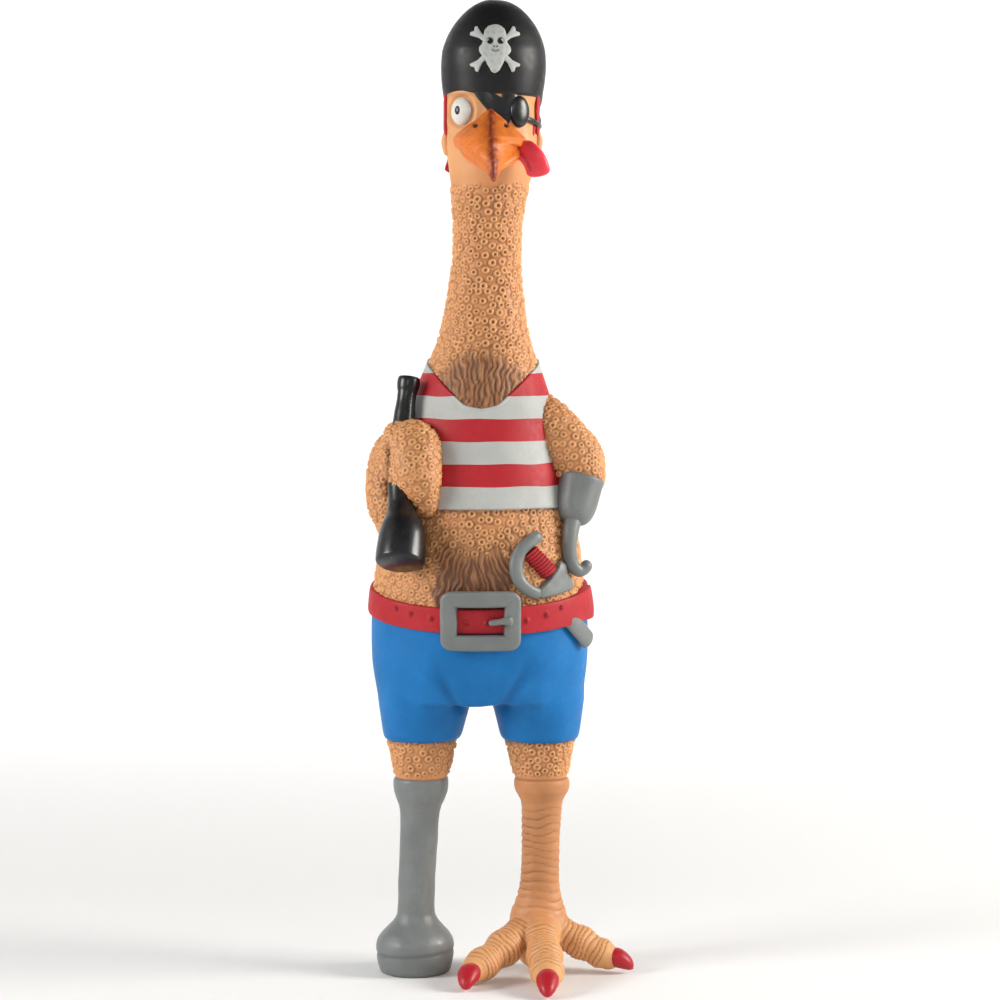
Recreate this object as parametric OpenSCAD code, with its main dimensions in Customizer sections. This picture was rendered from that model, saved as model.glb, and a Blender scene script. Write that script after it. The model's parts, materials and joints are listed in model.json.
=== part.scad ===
// A pirate rubber chicken: a hollow, slush-moulded latex squeeze toy that stands on a
// peg leg and a clawed foot, with a reed squeaker set into its back.
// Millimetres. +Z is up and the chicken faces -Y, so its own right side is at -X.
// "right" and "left" in every name are the chicken's own.
// The origin is on the floor under the middle of the toy's outline.

/* [Rubber skin] */
// Thickness of the moulded rubber skin
skin_t = 2.2; // [1.8:0.2:2.6]
// Gap between pieces that lie on one another
gap = 0.12; // [0.08:0.02:0.2]
// Clearance round each bending joint
joint_gap = 0.5; // [0.4:0.1:0.7]

/* [Body] */
// Width across the hips
hip_w = 95; // [92:1:98]
// Depth of the belly in front of the middle
belly_d = 40; // [38:1:42]
// Depth of the back and seat behind the middle
back_d = 38; // [36:1:40]
// Sideways distance from the middle to each leg
leg_x = 26.2; // [25:0.2:27]

/* [Joints] */
// Height of the bend at the foot of the neck
neck_pivot_z = 286; // [285:1:287]
// Height of the bend under the head
head_pivot_z = 352; // [351:1:353]
// Height of the bend in each thigh
hip_pivot_z = 106; // [105:0.5:107]

/* [Shirt] */
// Height of the hem
hem_z = 208.5; // [206:0.5:210]
// Height of one stripe
stripe_h = 9.7; // [9.5:0.1:10]
// Thickness of the shirt over the skin
shirt_t = 0.8; // [0.6:0.1:1.2]

/* [Belt] */
// Height of the belt's middle at the sides
belt_z = 167.6; // [166:0.2:169]
// How far the belt drops towards the front, in degrees
belt_tilt = 9.5; // [8:0.5:11]
// Height of the strap
belt_h = 10.8; // [10:0.2:12]
// Thickness of the strap
belt_t = 2.4; // [2:0.2:3]
// Width of the buckle
buckle_w = 32; // [30:1:34]
// Height of the buckle
buckle_h = 25; // [24:1:26]

/* [Squeaker] */
// Height of the squeaker in the back
squeaker_z = 196; // [194:1:198]
// Outer radius of the squeaker's barrel
squeaker_r = 8; // [7:0.5:9]
// Length of the squeaker's barrel
squeaker_l = 24; // [22:1:26]
// Radius of the air hole
air_r = 2.2; // [1.8:0.2:2.6]

/* [Hidden] */

sides = 24;      // sides of a body ring
fine = 12;       // sides of the small hulled balls
cup = 28;        // sides of a joint's ball and cup
far = 200;       // longer than anything that is cut
stand = [-9.3, 8.7, 0];   // moves the middle of the outline over the origin

neck_pivot = [1.6, 0, neck_pivot_z];
head_pivot = [3.8, 0, head_pivot_z];
neck_cap_r = 23.4;
head_cap_r = 18;
hip_cap_r = 15.5;
neck_air_r = 8;      // air passage through the neck's foot
head_air_r = 5.5;    // air passage through the head's foot
hip_air_r = 6;       // air passage down into each leg
trunks_hem_z = 104.5;
knee_z = 88;

hips = hip_w / 2;

// Body rings, from the crotch up: [z, middle x, middle y, half width, depth in front, depth behind]
body_rings = [
    [121, 0, 0, 0.9 * hips, 0.65 * belly_d, 0.7 * back_d],
    [127, 0, 0, 0.96 * hips, 0.82 * belly_d, 0.9 * back_d],
    [136, 0, 0, 0.99 * hips, 0.9 * belly_d, back_d],
    [148, 0, 0, hips, 0.95 * belly_d, 1.03 * back_d],
    [162, 0, 0, hips, 0.98 * belly_d, back_d],
    [178, 0, 0, 0.97 * hips, belly_d, 0.95 * back_d],
    [192, 0, 0, 43.5, 0.97 * belly_d, 34],
    [208, 0, 0, 40, 0.9 * belly_d, 32],
    [226, 0, 0, 36, 32.5, 30],
    [244, 0, 0, 32.5, 29, 28],
    [258, 0.5, 0, 29, 26, 25.5],
    [268, 1, 0, 25, 23, 23],
    [278, 1.6, 0, 21.6, 20.6, 20.6]
];
// One leg of the trunks, from its hem up
trunk_leg_rings = [
    [trunks_hem_z, leg_x, 0, 17, 17, 17],
    [109.5, leg_x - 0.4, 0, 18.4, 18.6, 19],
    [117, leg_x - 1.2, 0, 19.6, 20, 21],
    [137, leg_x - 3.4, 0, 20.5, 24, 26]
];
head_rings = [
    [344, 3.8, 0, 16, 16, 16],
    [350, 4.2, 0, 17, 16.8, 17.2],
    [357, 4.9, 0, 19.2, 18.2, 20],
    [366, 5.5, 0, 21, 19.4, 22],
    [391, 5.5, 0, 21, 19.4, 23],
    [404, 5.5, 0, 20.4, 18.4, 22],
    [415, 5.5, 0, 15.5, 14, 17],
    [422, 5.5, 0, 9, 8, 10],
    [424, 5.5, 0, 4, 4, 4]
];
hat_rings = [
    [381, 5.5, 1.5, 22.6, 21.4, 24],
    [388, 5.5, 1, 23, 21.6, 25],
    [398, 5.5, 0.5, 23.4, 21.8, 26],
    [405, 5.5, 0, 23, 21.2, 25.6],
    [412, 5.5, 0, 20.8, 19.2, 23.6],
    [419, 5.5, 0, 17.6, 16, 20],
    [425, 5.5, 0, 13, 11.6, 15],
    [429, 5.5, 0, 7.5, 7, 8.5],
    [430, 5.5, 0, 3, 3, 3.5]
];
neck_rings = [
    [274, 1.6, 0, 20, 19.6, 19.6],
    [286, 1.7, 0, 18.8, 18.8, 18.8],
    [297, 1.9, 0, 16.8, 16.8, 16.8],
    [308, 2.2, 0, 15.4, 15.4, 15.4],
    [319, 2.6, 0, 14.5, 14.5, 14.5],
    [334, 3.3, 0, 15.2, 15.2, 15.2],
    [345, 3.8, 0, 16.1, 16.1, 16.1]
];
// The peg leans out a little: rings as [z, middle x, radius]
peg_outline = [
    [0, -29.6, 14.4], [3, -29.6, 16.6], [7, -29.6, 17.5], [12, -29.6, 17.2], [17, -29.5, 15],
    [22, -29.3, 11], [27, -29.1, 8.3], [42, -28.5, 8.1], [66, -27.6, 8.4], [74.5, -27.2, 9.3],
    [79.5, -27, 11], [84, -26.8, 12.4], [knee_z - gap, -26.6, 12.2]
];
// The shank's rings, from the ankle up: [z, middle x, middle y, radius]
shank_outline = [
    [28, 25.4, 4, 11.6], [35, 25.6, 3.8, 10.4], [42, 26, 3.2, 8.9], [50, 26.4, 2.4, 8.4],
    [60, 26.5, 1.6, 8.7], [74, 26.6, 0.6, 9.6], [79, 26.7, 0.2, 10.8], [84, 26.8, 0, 12.8],
    [knee_z - gap, 26.8, 0, 12.2]
];
// Toes: balls as [x, y, z, radius], from the ankle out
inner_toe = [[21, 0, 12, 9], [11, -12, 8.6, 7.8], [0, -22, 6.6, 7], [-4, -26, 6, 6.4]];
middle_toe = [[26, -3, 13, 9.5], [27.5, -20, 9, 8.2], [28.8, -35, 6.8, 7.6], [29.2, -39, 6.4, 7]];
outer_toe = [[31, 2, 12, 9], [43, 0, 9, 8], [54, -3, 6.6, 7], [58, -4, 6, 6.4]];
ankle = [[25.4, 4, 28, 11.4], [25.4, 4, 11.8, 12.8]];
// Claws: a ball at the root and one at the tip
inner_claw_balls = [[-6, -28, 6.2, 4.6], [-10.5, -33, 2, 1.3]];
middle_claw_balls = [[29.6, -43, 6.4, 4.8], [30, -51, 2.2, 1.4]];
outer_claw_balls = [[61, -5, 6.4, 4.6], [67.5, -7.5, 2.6, 1.3]];

// Wings: balls as [x, y, z, radius], from the shoulder out
right_arm = [[-29, 2, 246, 11.5], [-37, -3, 232, 12.5], [-38.6, -6, 214, 12], [-37.5, -9, 203, 9.5]];
right_hand = [
    [-37, -12, 232, 10.5], [-32, -27, 239, 9.5], [-27, -34, 230, 10], [-26, -35, 215, 9.2],
    [-29, -31, 204, 6.5]
];
left_arm = [[28.6, 1, 248, 11], [36.6, 1, 238, 12.2], [42.2, -1, 226, 12.5], [42.5, -8, 217, 10.8]];

// Bottle: axis from the base up to the lip
bottle_base = [-34, -46, 184];
bottle_lip = [-30.6, -13, 264];
bottle_l = norm(bottle_lip - bottle_base);
bottle_outline = [
    [0, 0], [9, 0], [10.4, 1.4], [10.6, 8], [10.2, 28], [9, 34], [6.6, 43], [5.6, 56],
    [4.6, 76], [4.7, 81], [6, 84.5], [6.1, bottle_l - 0.8], [5.2, bottle_l], [0, bottle_l]
];

cuff_top = [43.6, -13.5, 222];
cuff_end = [41.6, -17.5, 202];
// The hook's wire: points on its middle line
hook_r = 3;
hook_line = [
    [40.6, -19.5, 203], [39, -22.5, 194], [38.6, -23, 187], [40.4, -23, 180.5],
    [44, -21.5, 177.4], [47.6, -19.5, 178.6], [49.4, -18.5, 183]
];

eye_r = 5.2;
eye_at = [-7.8, -13.6, 381.4];
pupil_tilt = [84, 0, -38];

// --- building blocks ---

// Points round a ring, which has its own depth in front and behind
function ring_points(s, grow) = [
    for (i = [0:sides - 1])
        let (a = 360 * i / sides, depth = sin(a) < 0 ? s[4] : s[5])
        [s[1] + (s[3] + grow) * cos(a), s[2] + (depth + grow) * sin(a), s[0]]
];

// A ring from a radius alone
function round_ring(z, x, y, r) = [z, x, y, r, r, r];

// A closed skin over rings that rise from the first to the last
module loft(rings, grow = 0) {
    top = sides * (len(rings) - 1);
    polyhedron(
        points = [for (s = rings) each ring_points(s, grow)],
        faces = [
            [for (i = [0:sides - 1]) i],
            for (k = [0:sides:top - 1]) for (i = [0:sides - 1]) let (j = (i + 1) % sides)
                each [[k + i, k + i + sides, k + j], [k + j, k + i + sides, k + j + sides]],
            [for (i = [sides - 1:-1:0]) top + i]
        ]
    );
}

// Smooth forms, joined and cut as one surface
module moulded() {
    resize([0, 0, 0]) children();
}

module ball(b, grow = 0, n = fine) {
    translate([b[0], b[1], b[2]]) sphere(r = b[3] + grow, $fn = n);
}

// Balls joined one to the next
module chain(balls, grow = 0, n = fine) {
    for (i = [0:len(balls) - 2]) hull() {
        ball(balls[i], grow, n);
        ball(balls[i + 1], grow, n);
    }
}

// Turns +Z onto the line from a to b, and moves the foot to a
module along(a, b) {
    d = b - a;
    translate(a) rotate([0, acos(d[2] / norm(d)), atan2(d[1], d[0])]) children();
}

// A flat outline drawn in x and z, cut right through the front half of the toy
module through_front(shift_z = 0) {
    translate([0, 0, shift_z]) rotate([90, 0, 0]) linear_extrude(far) children();
}

// A layer that follows a lofted form, from one height over it to another
module layer(rings, from, to) {
    difference() {
        loft(rings, to);
        loft(rings, from);
    }
}

// The space below the belt's middle plane, or a slab round it
module belt_slab(low, high) {
    translate([0, 0, belt_z]) rotate([belt_tilt, 0, 0])
        translate([-far / 2, -far / 2, low]) cube([far, far, high - low]);
}

module both_sides() {
    children();
    mirror([1, 0, 0]) children();
}

// --- outer forms that other pieces are cut to ---

module body_form(grow = 0) {
    loft(body_rings, grow);
    both_sides() loft(trunk_leg_rings, grow);
}

module right_wing_form(grow = 0) {
    chain(right_arm, grow);
    chain(right_hand, grow);
}

module left_wing_form(grow = 0) {
    chain(left_arm, grow);
}

module bottle_form(grow = 0) {
    along(bottle_base, bottle_lip)
        rotate_extrude($fn = 40)
            polygon([for (p = bottle_outline) [p[0] > 0 ? p[0] + grow : 0, p[1]]]);
}

module cuff_form(grow = 0) {
    along(cuff_end, cuff_top) {
        cylinder(h = 6, r1 = 5.5 + grow, r2 = 9.4 + grow, $fn = 30);
        translate([0, 0, 6]) cylinder(h = 13, r1 = 9.4 + grow, r2 = 10.4 + grow, $fn = 30);
    }
}

module upper_beak_form(grow = 0) {
    hull() {
        ball([-9, -17, 367, 3], grow);
        ball([-12.5, -14.5, 368, 2.4], grow);
        ball([17, -14.5, 367.5, 2.4], grow);
        ball([3.6, -18, 378, 2.6], grow);
        ball([4, -33, 369, 4], grow);
        ball([4.6, -40, 352.5, 1.6], grow);
    }
}

// --- torso ---

module squeaker_axis(y) {
    translate([0, y, squeaker_z]) rotate([-90, 0, 0]) children();
}

boss_y = 35.4;    // flat seat of the squeaker's port
boss_l = 4.8;     // how deep the seat's boss reaches into the back
boss_r = 11;
port_r = 6;

module torso_skin() {
    color("sandybrown") moulded() difference() {
        union() {
            difference() {
                body_form();
                difference() {
                    body_form(-skin_t);
                    translate(neck_pivot) sphere(r = neck_cap_r + joint_gap + skin_t, $fn = cup);
                }
            }
            squeaker_axis(boss_y - boss_l) cylinder(h = boss_l, r = boss_r, $fn = 40);
        }
        belt_slab(-far, 0);
        translate(neck_pivot) sphere(r = neck_cap_r + joint_gap, $fn = cup);
        translate([neck_pivot[0], 0, 240]) cylinder(h = 40, r = neck_air_r + 1, $fn = 30);
        squeaker_axis(20) cylinder(h = 30, r = port_r + gap, $fn = cup);
        chain(right_arm, -skin_t);
        chain(left_arm, -skin_t);
    }
}

front_neckline_z = 253;
back_neckline_z = 261;

module shirt_form() {
    difference() {
        layer(body_rings, gap, gap + shirt_t);
        translate([-far / 2, -far / 2, -far]) cube([far, far, far + hem_z]);
        // a deep scoop in front and a shallow one behind
        translate([0, -8, front_neckline_z]) rotate([90, 0, 0]) scoop(27, 24);
        translate([0, far - 8, back_neckline_z]) rotate([90, 0, 0]) scoop(24, 16);
        right_wing_form(gap);
        left_wing_form(gap);
        armhole(-1);
        armhole(1);
        bottle_form(0.6);
        squeaker_axis(20) cylinder(h = 30, r = boss_r + 0.6, $fn = 40);
    }
}

// A U-shaped neckline, its lowest point on the axis
module scoop(half_w, depth) {
    linear_extrude(far) hull() {
        translate([0, depth]) scale([half_w / depth, 1]) circle(r = depth, $fn = 36);
        translate([-half_w, 60]) square([2 * half_w, 1]);
    }
}

armhole_at = [41, 0, 248];
armhole_r = 20;

module armhole(side) {
    translate([side * armhole_at[0], 0, armhole_at[2]]) rotate([90, 0, 0])
        scale([0.62, 1, 1]) cylinder(h = far, r = armhole_r, center = true, $fn = 36);
}

module stripes(first) {
    for (i = [first:2:5])
        translate([-far / 2, -far / 2, hem_z + i * stripe_h]) cube([far, far, stripe_h]);
}

module shirt_white() {
    color("whitesmoke") moulded() intersection() {
        shirt_form();
        union() {
            stripes(0);
            translate([-far / 2, -far / 2, hem_z + 6 * stripe_h]) cube([far, far, 8]);
        }
    }
}

module shirt_red() {
    color("crimson") moulded() intersection() {
        shirt_form();
        stripes(1);
    }
}

module trunks() {
    color("dodgerblue") moulded() difference() {
        body_form();
        difference() {
            body_form(-skin_t);
            for (s = [-1, 1]) translate([s * leg_x, 0, hip_pivot_z])
                sphere(r = hip_cap_r + joint_gap + skin_t, $fn = cup);
            translate([-far / 2, -far / 2, 0]) cube([far, far, hip_pivot_z]);
        }
        belt_slab(0, far);
        for (s = [-1, 1]) translate([s * leg_x, 0, hip_pivot_z]) {
            sphere(r = hip_cap_r + joint_gap, $fn = cup);
            cylinder(h = 30, r = hip_air_r, $fn = 24);
        }
    }
}

belt_holes_x = [-37, -29, -21, -5, 21, 29, 37];

module belt() {
    color("crimson") moulded() difference() {
        intersection() {
            layer(body_rings, gap, gap + belt_t);
            belt_slab(-belt_h / 2, belt_h / 2);
        }
        // punched holes along the front
        for (x = belt_holes_x)
            translate([x, 0, belt_z - 6.2 + 4 * pow(x / 40, 2)]) rotate([90, 0, 0])
                cylinder(h = far, r = 1, $fn = 12);
    }
}

module rounded(w, h, r) {
    offset(r = r, $fn = 24) square([w - 2 * r, h - 2 * r], center = true);
}

buckle_at = [0, 161.4];
buckle_bar = 6.2;
buckle_t = 4;

// The buckle's window frame, as an outline
module buckle_outline(grow = 0) {
    translate(buckle_at) difference() {
        rounded(buckle_w + 2 * grow, buckle_h + 2 * grow, 3 + grow);
        square([buckle_w - 2 * (buckle_bar + grow), buckle_h - 2 * (buckle_bar + grow)], center = true);
    }
}

module buckle_frame() {
    color("silver") moulded() intersection() {
        layer(body_rings, belt_t + 2 * gap, belt_t + buckle_t);
        through_front() buckle_outline();
    }
}

// The prong's tip lies over the frame
module buckle_prong() {
    color("silver") moulded() difference() {
        intersection() {
            layer(body_rings, belt_t + 2 * gap, belt_t + buckle_t + 1.6);
            through_front() translate(buckle_at) hull() {
                translate([3.5, -0.4]) circle(r = 1.2, $fn = 20);
                translate([buckle_w / 2 - buckle_bar + 2, 0]) circle(r = 1.9, $fn = 20);
            }
        }
        intersection() {
            loft(body_rings, belt_t + buckle_t + gap);
            through_front() buckle_outline(gap);
        }
    }
}

// --- wings and what they hold ---

module right_wing() {
    color("sandybrown") moulded() difference() {
        right_wing_form();
        chain(right_arm, -skin_t);
        body_form(gap);
        bottle_form(gap);
    }
}

module left_wing() {
    color("sandybrown") moulded() difference() {
        left_wing_form();
        chain(left_arm, -skin_t);
        body_form(gap);
        cuff_form(gap);
    }
}

module bottle() {
    color("black") bottle_form();
}

module hook_cuff() {
    color("gray") moulded() difference() {
        cuff_form();
        body_form(gap + shirt_t + gap);
        chain(hook_line_balls, gap, 10);
    }
}

hook_line_balls = [for (p = hook_line) [p[0], p[1], p[2], hook_r]];

module hook() {
    color("gray") moulded() difference() {
        chain(hook_line_balls, 0, 10);
        body_form(gap);
    }
}

// --- cutlass, lying on the belly behind the belt ---

sword_at = [23.5, 181.5];    // middle of the grip
sword_lean = 35;             // lean of the sword from upright
sword_t = 3.4;               // how far it stands off the belly

module sword_piece(thick) {
    difference() {
        intersection() {
            layer(body_rings, gap, gap + thick);
            through_front() translate(sword_at) rotate(sword_lean) children();
        }
        belt_slab(-belt_h / 2 - gap, belt_h / 2 + gap);
    }
}

grip_l = 13;
grip_w = 6.4;
guard_w = 5;

module guard_outline() {
    difference() {
        hull() {
            translate([-7, 8.5]) circle(r = 5, $fn = 24);
            translate([-7, -6]) circle(r = 8, $fn = 24);
            translate([0, 8.5]) circle(r = 5, $fn = 24);
            translate([0, -8]) circle(r = 6, $fn = 24);
        }
        hull() {
            translate([-5, 5]) circle(r = 4, $fn = 24);
            translate([-5, -4]) circle(r = 5, $fn = 24);
            translate([12, 6]) circle(r = 4, $fn = 24);
            translate([12, -6]) circle(r = 4, $fn = 24);
        }
    }
}

module crossguard_outline() {
    polygon([[-9, -grip_l / 2], [9, -grip_l / 2], [7, -grip_l / 2 - 6], [3, -grip_l / 2 - 11],
             [-5, -grip_l / 2 - 11], [-9, -grip_l / 2 - 6]]);
}

module cutlass_guard() {
    color("gray") moulded() difference() {
        sword_piece(sword_t) difference() {
            guard_outline();
            offset(r = gap) grip_outline();
            offset(r = gap) crossguard_outline();
        }
        through_front() buckle_outline(gap);
    }
}

module grip_outline() {
    square([grip_w, grip_l], center = true);
    for (i = [-2:2]) translate([0, i * 2.4]) square([grip_w + 1, 1.3], center = true);
}

module cutlass_grip() {
    color("crimson") moulded() sword_piece(sword_t - 0.4) difference() {
        grip_outline();
        offset(r = gap) crossguard_outline();
    }
}

module cutlass_crossguard() {
    color("gray") moulded() sword_piece(sword_t - 0.6) crossguard_outline();
}

module cutlass_blade() {
    color("silver") moulded() sword_piece(3) hull() {
        translate([0, -26]) square([8.6, 1], center = true);
        translate([1, -37.5]) circle(r = 4.2, $fn = 24);
    }
}

// --- squeaker ---

port_flange = 1.2;

module squeaker_port() {
    color("white") squeaker_axis(boss_y + gap) difference() {
        union() {
            cylinder(h = port_flange, r = 9, $fn = 60);
            translate([0, 0, -6]) cylinder(h = 6, r = port_r, $fn = 60);
        }
        translate([0, 0, -7]) cylinder(h = 9, r = air_r, $fn = 40);
    }
}

barrel_y = boss_y + gap - 6;   // outer end of the barrel, on the port's inner end

module squeaker_barrel() {
    color("white") squeaker_axis(barrel_y - gap - squeaker_l) difference() {
        cylinder(h = squeaker_l, r = squeaker_r, $fn = 60);
        translate([0, 0, -1]) cylinder(h = squeaker_l, r = squeaker_r - 1.2, $fn = 60);
        cylinder(h = squeaker_l + 1, r = air_r, $fn = 40);
    }
}

seat_l = 15;
seat_w = 6.8;
reed_l = 11;
reed_t = 0.35;
reed_lift = 0.05;              // the reed's rest gap over its seat
flange_l = 2;
reed_end_y = barrel_y - 5;     // inner face of the seat's flange

module squeaker_reed_seat() {
    color("white") translate([0, reed_end_y, squeaker_z]) difference() {
        union() {
            translate([-seat_w / 2, -seat_l, -3]) cube([seat_w, seat_l + 0.1, 4]);
            rotate([-90, 0, 0]) cylinder(h = flange_l, r = squeaker_r - 1.2 - gap, $fn = 60);
        }
        translate([-1.6, -seat_l + 2, -1]) cube([3.2, reed_l - 1.6, 3]);
        translate([0, reed_l - seat_l - 1, -0.9]) rotate([-90, 0, 0])
            cylinder(h = seat_l, r = 1.2, $fn = 30);
    }
}

module squeaker_reed() {
    color("gold") translate([-1.9, reed_end_y - reed_l - 1, squeaker_z + 1 + reed_lift])
        cube([3.8, reed_l, reed_t]);
}

module squeaker_cap() {
    color("white") squeaker_axis(barrel_y - gap - squeaker_l) difference() {
        cylinder(h = 1.4, r = squeaker_r - 1.2 - gap, $fn = 60);
        translate([0, 0, -1]) cylinder(h = 4, r = air_r + 1, $fn = 40);
    }
}

// --- neck and head ---

module neck_skin() {
    color("sandybrown") moulded() difference() {
        union() {
            loft(neck_rings);
            intersection() {
                translate(neck_pivot) sphere(r = neck_cap_r, $fn = cup);
                translate([neck_pivot[0], 0, 255]) cylinder(h = 20.5, r = 20.8, $fn = cup);
            }
        }
        difference() {
            loft(neck_rings, -skin_t);
            translate(head_pivot) sphere(r = head_cap_r + joint_gap + skin_t, $fn = cup);
        }
        translate(head_pivot) sphere(r = head_cap_r + joint_gap, $fn = cup);
        translate([neck_pivot[0], 0, 250]) cylinder(h = 40, r = neck_air_r, $fn = 30);
        translate([head_pivot[0], 0, 320]) cylinder(h = 20, r = head_air_r + 0.5, $fn = 30);
    }
}

module head_skin() {
    color("sandybrown") moulded() difference() {
        union() {
            loft(head_rings);
            intersection() {
                translate(head_pivot) sphere(r = head_cap_r, $fn = cup);
                translate([head_pivot[0], 0, 330]) cylinder(h = 15.3, r = 15.6, $fn = cup);
            }
        }
        loft([for (s = head_rings) if (s[0] < 421) s], -skin_t);
        translate([head_pivot[0], 0, 330]) cylinder(h = 20, r = head_air_r, $fn = 30);
        translate(eye_at) sphere(r = eye_r + gap, $fn = 40);
    }
}

brim_z = 388.6;
brim_tilt = 8;      // the brim drops towards the back of the head

module above_brim() {
    translate([0, 0, brim_z]) rotate([-brim_tilt, 0, 0])
        translate([-far / 2, -far / 2, 0]) cube([far, far, far]);
}

module hat() {
    color("black") moulded() intersection() {
        difference() {
            loft(hat_rings);
            loft(head_rings, gap);
        }
        above_brim();
    }
}

badge_at = [5.8, 407.4];

module skull_outline() {
    hull() {
        translate([0, 4]) scale([1, 1.15]) circle(r = 5.2, $fn = 20);
        translate([0, -1]) circle(r = 6, $fn = 20);
    }
    hull() {
        translate([0, -3]) circle(r = 5.2, $fn = 20);
        translate([0, -8.6]) circle(r = 1.8, $fn = 24);
    }
}

module bones_outline() {
    for (a = [-1, 1]) {
        hull() for (s = [-1, 1]) translate([s * 8.6, a * s * 7.4]) circle(r = 1.1, $fn = 12);
        for (s = [-1, 1]) translate([s * 8.8, a * s * 7.6]) {
            translate([s * 0.9, -a * s * 1.1]) circle(r = 1.7, $fn = 14);
            translate([-s * 0.7, a * s * 1.1]) circle(r = 1.7, $fn = 14);
        }
    }
}

module badge(thick) {
    intersection() {
        layer(hat_rings, gap, gap + thick);
        through_front() translate(badge_at) children();
        above_brim();
    }
}

module skull_badge() {
    color("whitesmoke") moulded() badge(1.2) difference() {
        skull_outline();
        for (s = [-1, 1]) translate([s * 2.3, 1.6]) circle(r = 1.3, $fn = 20);
    }
}

module crossbones() {
    color("whitesmoke") moulded() badge(0.8) difference() {
        bones_outline();
        offset(r = gap) skull_outline();
    }
}

scarf_z = 372;      // lower edge of the scarf's band

module head_scarf() {
    color("crimson") moulded() difference() {
        union() {
            intersection() {
                layer(head_rings, gap, gap + 1.3);
                translate([-far / 2, 1, scarf_z]) cube([far, far, 30]);
            }
            difference() {
                chain([[-3, 24, 373, 3.4], [-8.6, 24, 366, 4], [-11.6, 20.4, 356, 3.2]]);
                loft(head_rings, gap);
            }
            difference() {
                chain([[0, 24.4, 373, 3.4], [4.6, 25, 362, 4.2], [7.4, 24, 352, 3.2]]);
                loft(head_rings, gap);
            }
        }
        loft(hat_rings_grown, 0);
    }
}

// The hat's outer form with the gap added, cut off level with its lowest edge
hat_rings_grown = [for (s = hat_rings) [s[0], s[1], s[2], s[3] + gap, s[4] + gap, s[5] + gap]];

module ear_lobes() {
    color("sandybrown") moulded() difference() {
        for (s = [-1, 1]) hull() {
            translate([5.5 + s * 20.6, 4, 368]) sphere(r = 3, $fn = fine);
            translate([5.5 + s * 19.8, 2.5, 362]) sphere(r = 2.4, $fn = fine);
        }
        loft(head_rings, gap);
    }
}

module right_eyeball() {
    color("whitesmoke") translate(eye_at) sphere(r = eye_r, $fn = 60);
}

module right_pupil() {
    color("black") translate(eye_at) rotate(pupil_tilt) intersection() {
        difference() {
            sphere(r = eye_r + 0.5, $fn = 60);
            sphere(r = eye_r + 0.02, $fn = 60);
        }
        cylinder(h = 10, r = 1.5, $fn = 40);
    }
}

patch_at = [15.8, 380.6];

module patch_outline() {
    translate(patch_at) scale([1, 1.35]) circle(r = 5.4, $fn = 32);
}

module eye_patch() {
    color("black") moulded() difference() {
        intersection() {
            layer(head_rings, gap, gap + 2);
            through_front() patch_outline();
        }
        loft(hat_rings_grown, 0);
        upper_beak_form(gap);
    }
}

module eye_patch_strap() {
    color("black") moulded() difference() {
        intersection() {
            layer(head_rings, gap, gap + 1);
            through_front() difference() {
                union() {
                    polygon([[-3, 391], [4, 391], [12, 385], [12, 375], [9, 377]]);
                    polygon([[17, 378], [28, 376], [28, 373], [17, 374.5]]);
                }
                offset(r = gap) patch_outline();
            }
        }
        loft(hat_rings_grown, 0);
        upper_beak_form(gap);
    }
}

module upper_beak() {
    color("darkorange") moulded() difference() {
        upper_beak_form();
        loft(head_rings, gap);
        // nostrils
        for (s = [-1, 1]) translate([4 + s * 5.4, -30, 373]) rotate([50, 0, 0])
            cylinder(h = 20, r = 0.7, center = true, $fn = 16);
    }
}

module lower_beak() {
    color("darkorange") moulded() difference() {
        hull() {
            ball([-7, -15, 362, 2.6]);
            ball([14, -15, 362, 2.6]);
            ball([4.4, -30, 356, 2.6]);
        }
        loft(head_rings, gap);
        upper_beak_form(gap);
    }
}

module tongue() {
    color("crimson") moulded() difference() {
        chain([[17, -17.5, 363, 2.6], [22, -18, 361, 4], [26, -17, 357, 4]]);
        loft(head_rings, gap);
        upper_beak_form(gap);
        hull() {
            ball([-7, -15, 362, 2.6], gap);
            ball([14, -15, 362, 2.6], gap);
            ball([4.4, -30, 356, 2.6], gap);
        }
    }
}

// --- legs ---

// A tapered stub whose domed top turns in the trunks' cup
module thigh(x, knee_r) {
    top_z = hip_pivot_z - 8;
    top_r = sqrt(pow(hip_cap_r, 2) - pow(hip_pivot_z - top_z, 2));
    translate([x, 0, 0]) difference() {
        union() {
            intersection() {
                translate([0, 0, hip_pivot_z]) sphere(r = hip_cap_r, $fn = 60);
                translate([0, 0, top_z]) cylinder(h = 30, r = hip_cap_r + 1, $fn = 60);
            }
            translate([0, 0, knee_z]) cylinder(h = top_z - knee_z, r1 = knee_r, r2 = top_r, $fn = 60);
        }
        translate([0, 0, knee_z - 1])
            cylinder(h = 24, r1 = knee_r - skin_t, r2 = top_r - skin_t, $fn = 60);
    }
}

module right_thigh_skin() {
    color("sandybrown") thigh(-leg_x, 12);
}

module left_thigh_skin() {
    color("sandybrown") thigh(leg_x, 11.8);
}

module peg_form(first, grow = 0) {
    loft([for (p = peg_outline) if (p[0] >= first) round_ring(p[0], p[1], 0, p[2])], grow);
}

module peg_leg() {
    color("gray") moulded() difference() {
        peg_form(0);
        peg_form(3, -skin_t);
    }
}

module shank_form(grow = 0) {
    loft([for (p = shank_outline) round_ring(p[0], p[1], p[2], p[3])], grow);
}

module left_shank() {
    color("sandybrown") moulded() difference() {
        shank_form();
        shank_form(-skin_t);
        foot_form(gap);
    }
}

module foot_form(grow = 0) {
    chain(ankle, grow);
    chain(inner_toe, grow);
    chain(middle_toe, grow);
    chain(outer_toe, grow);
}

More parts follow.
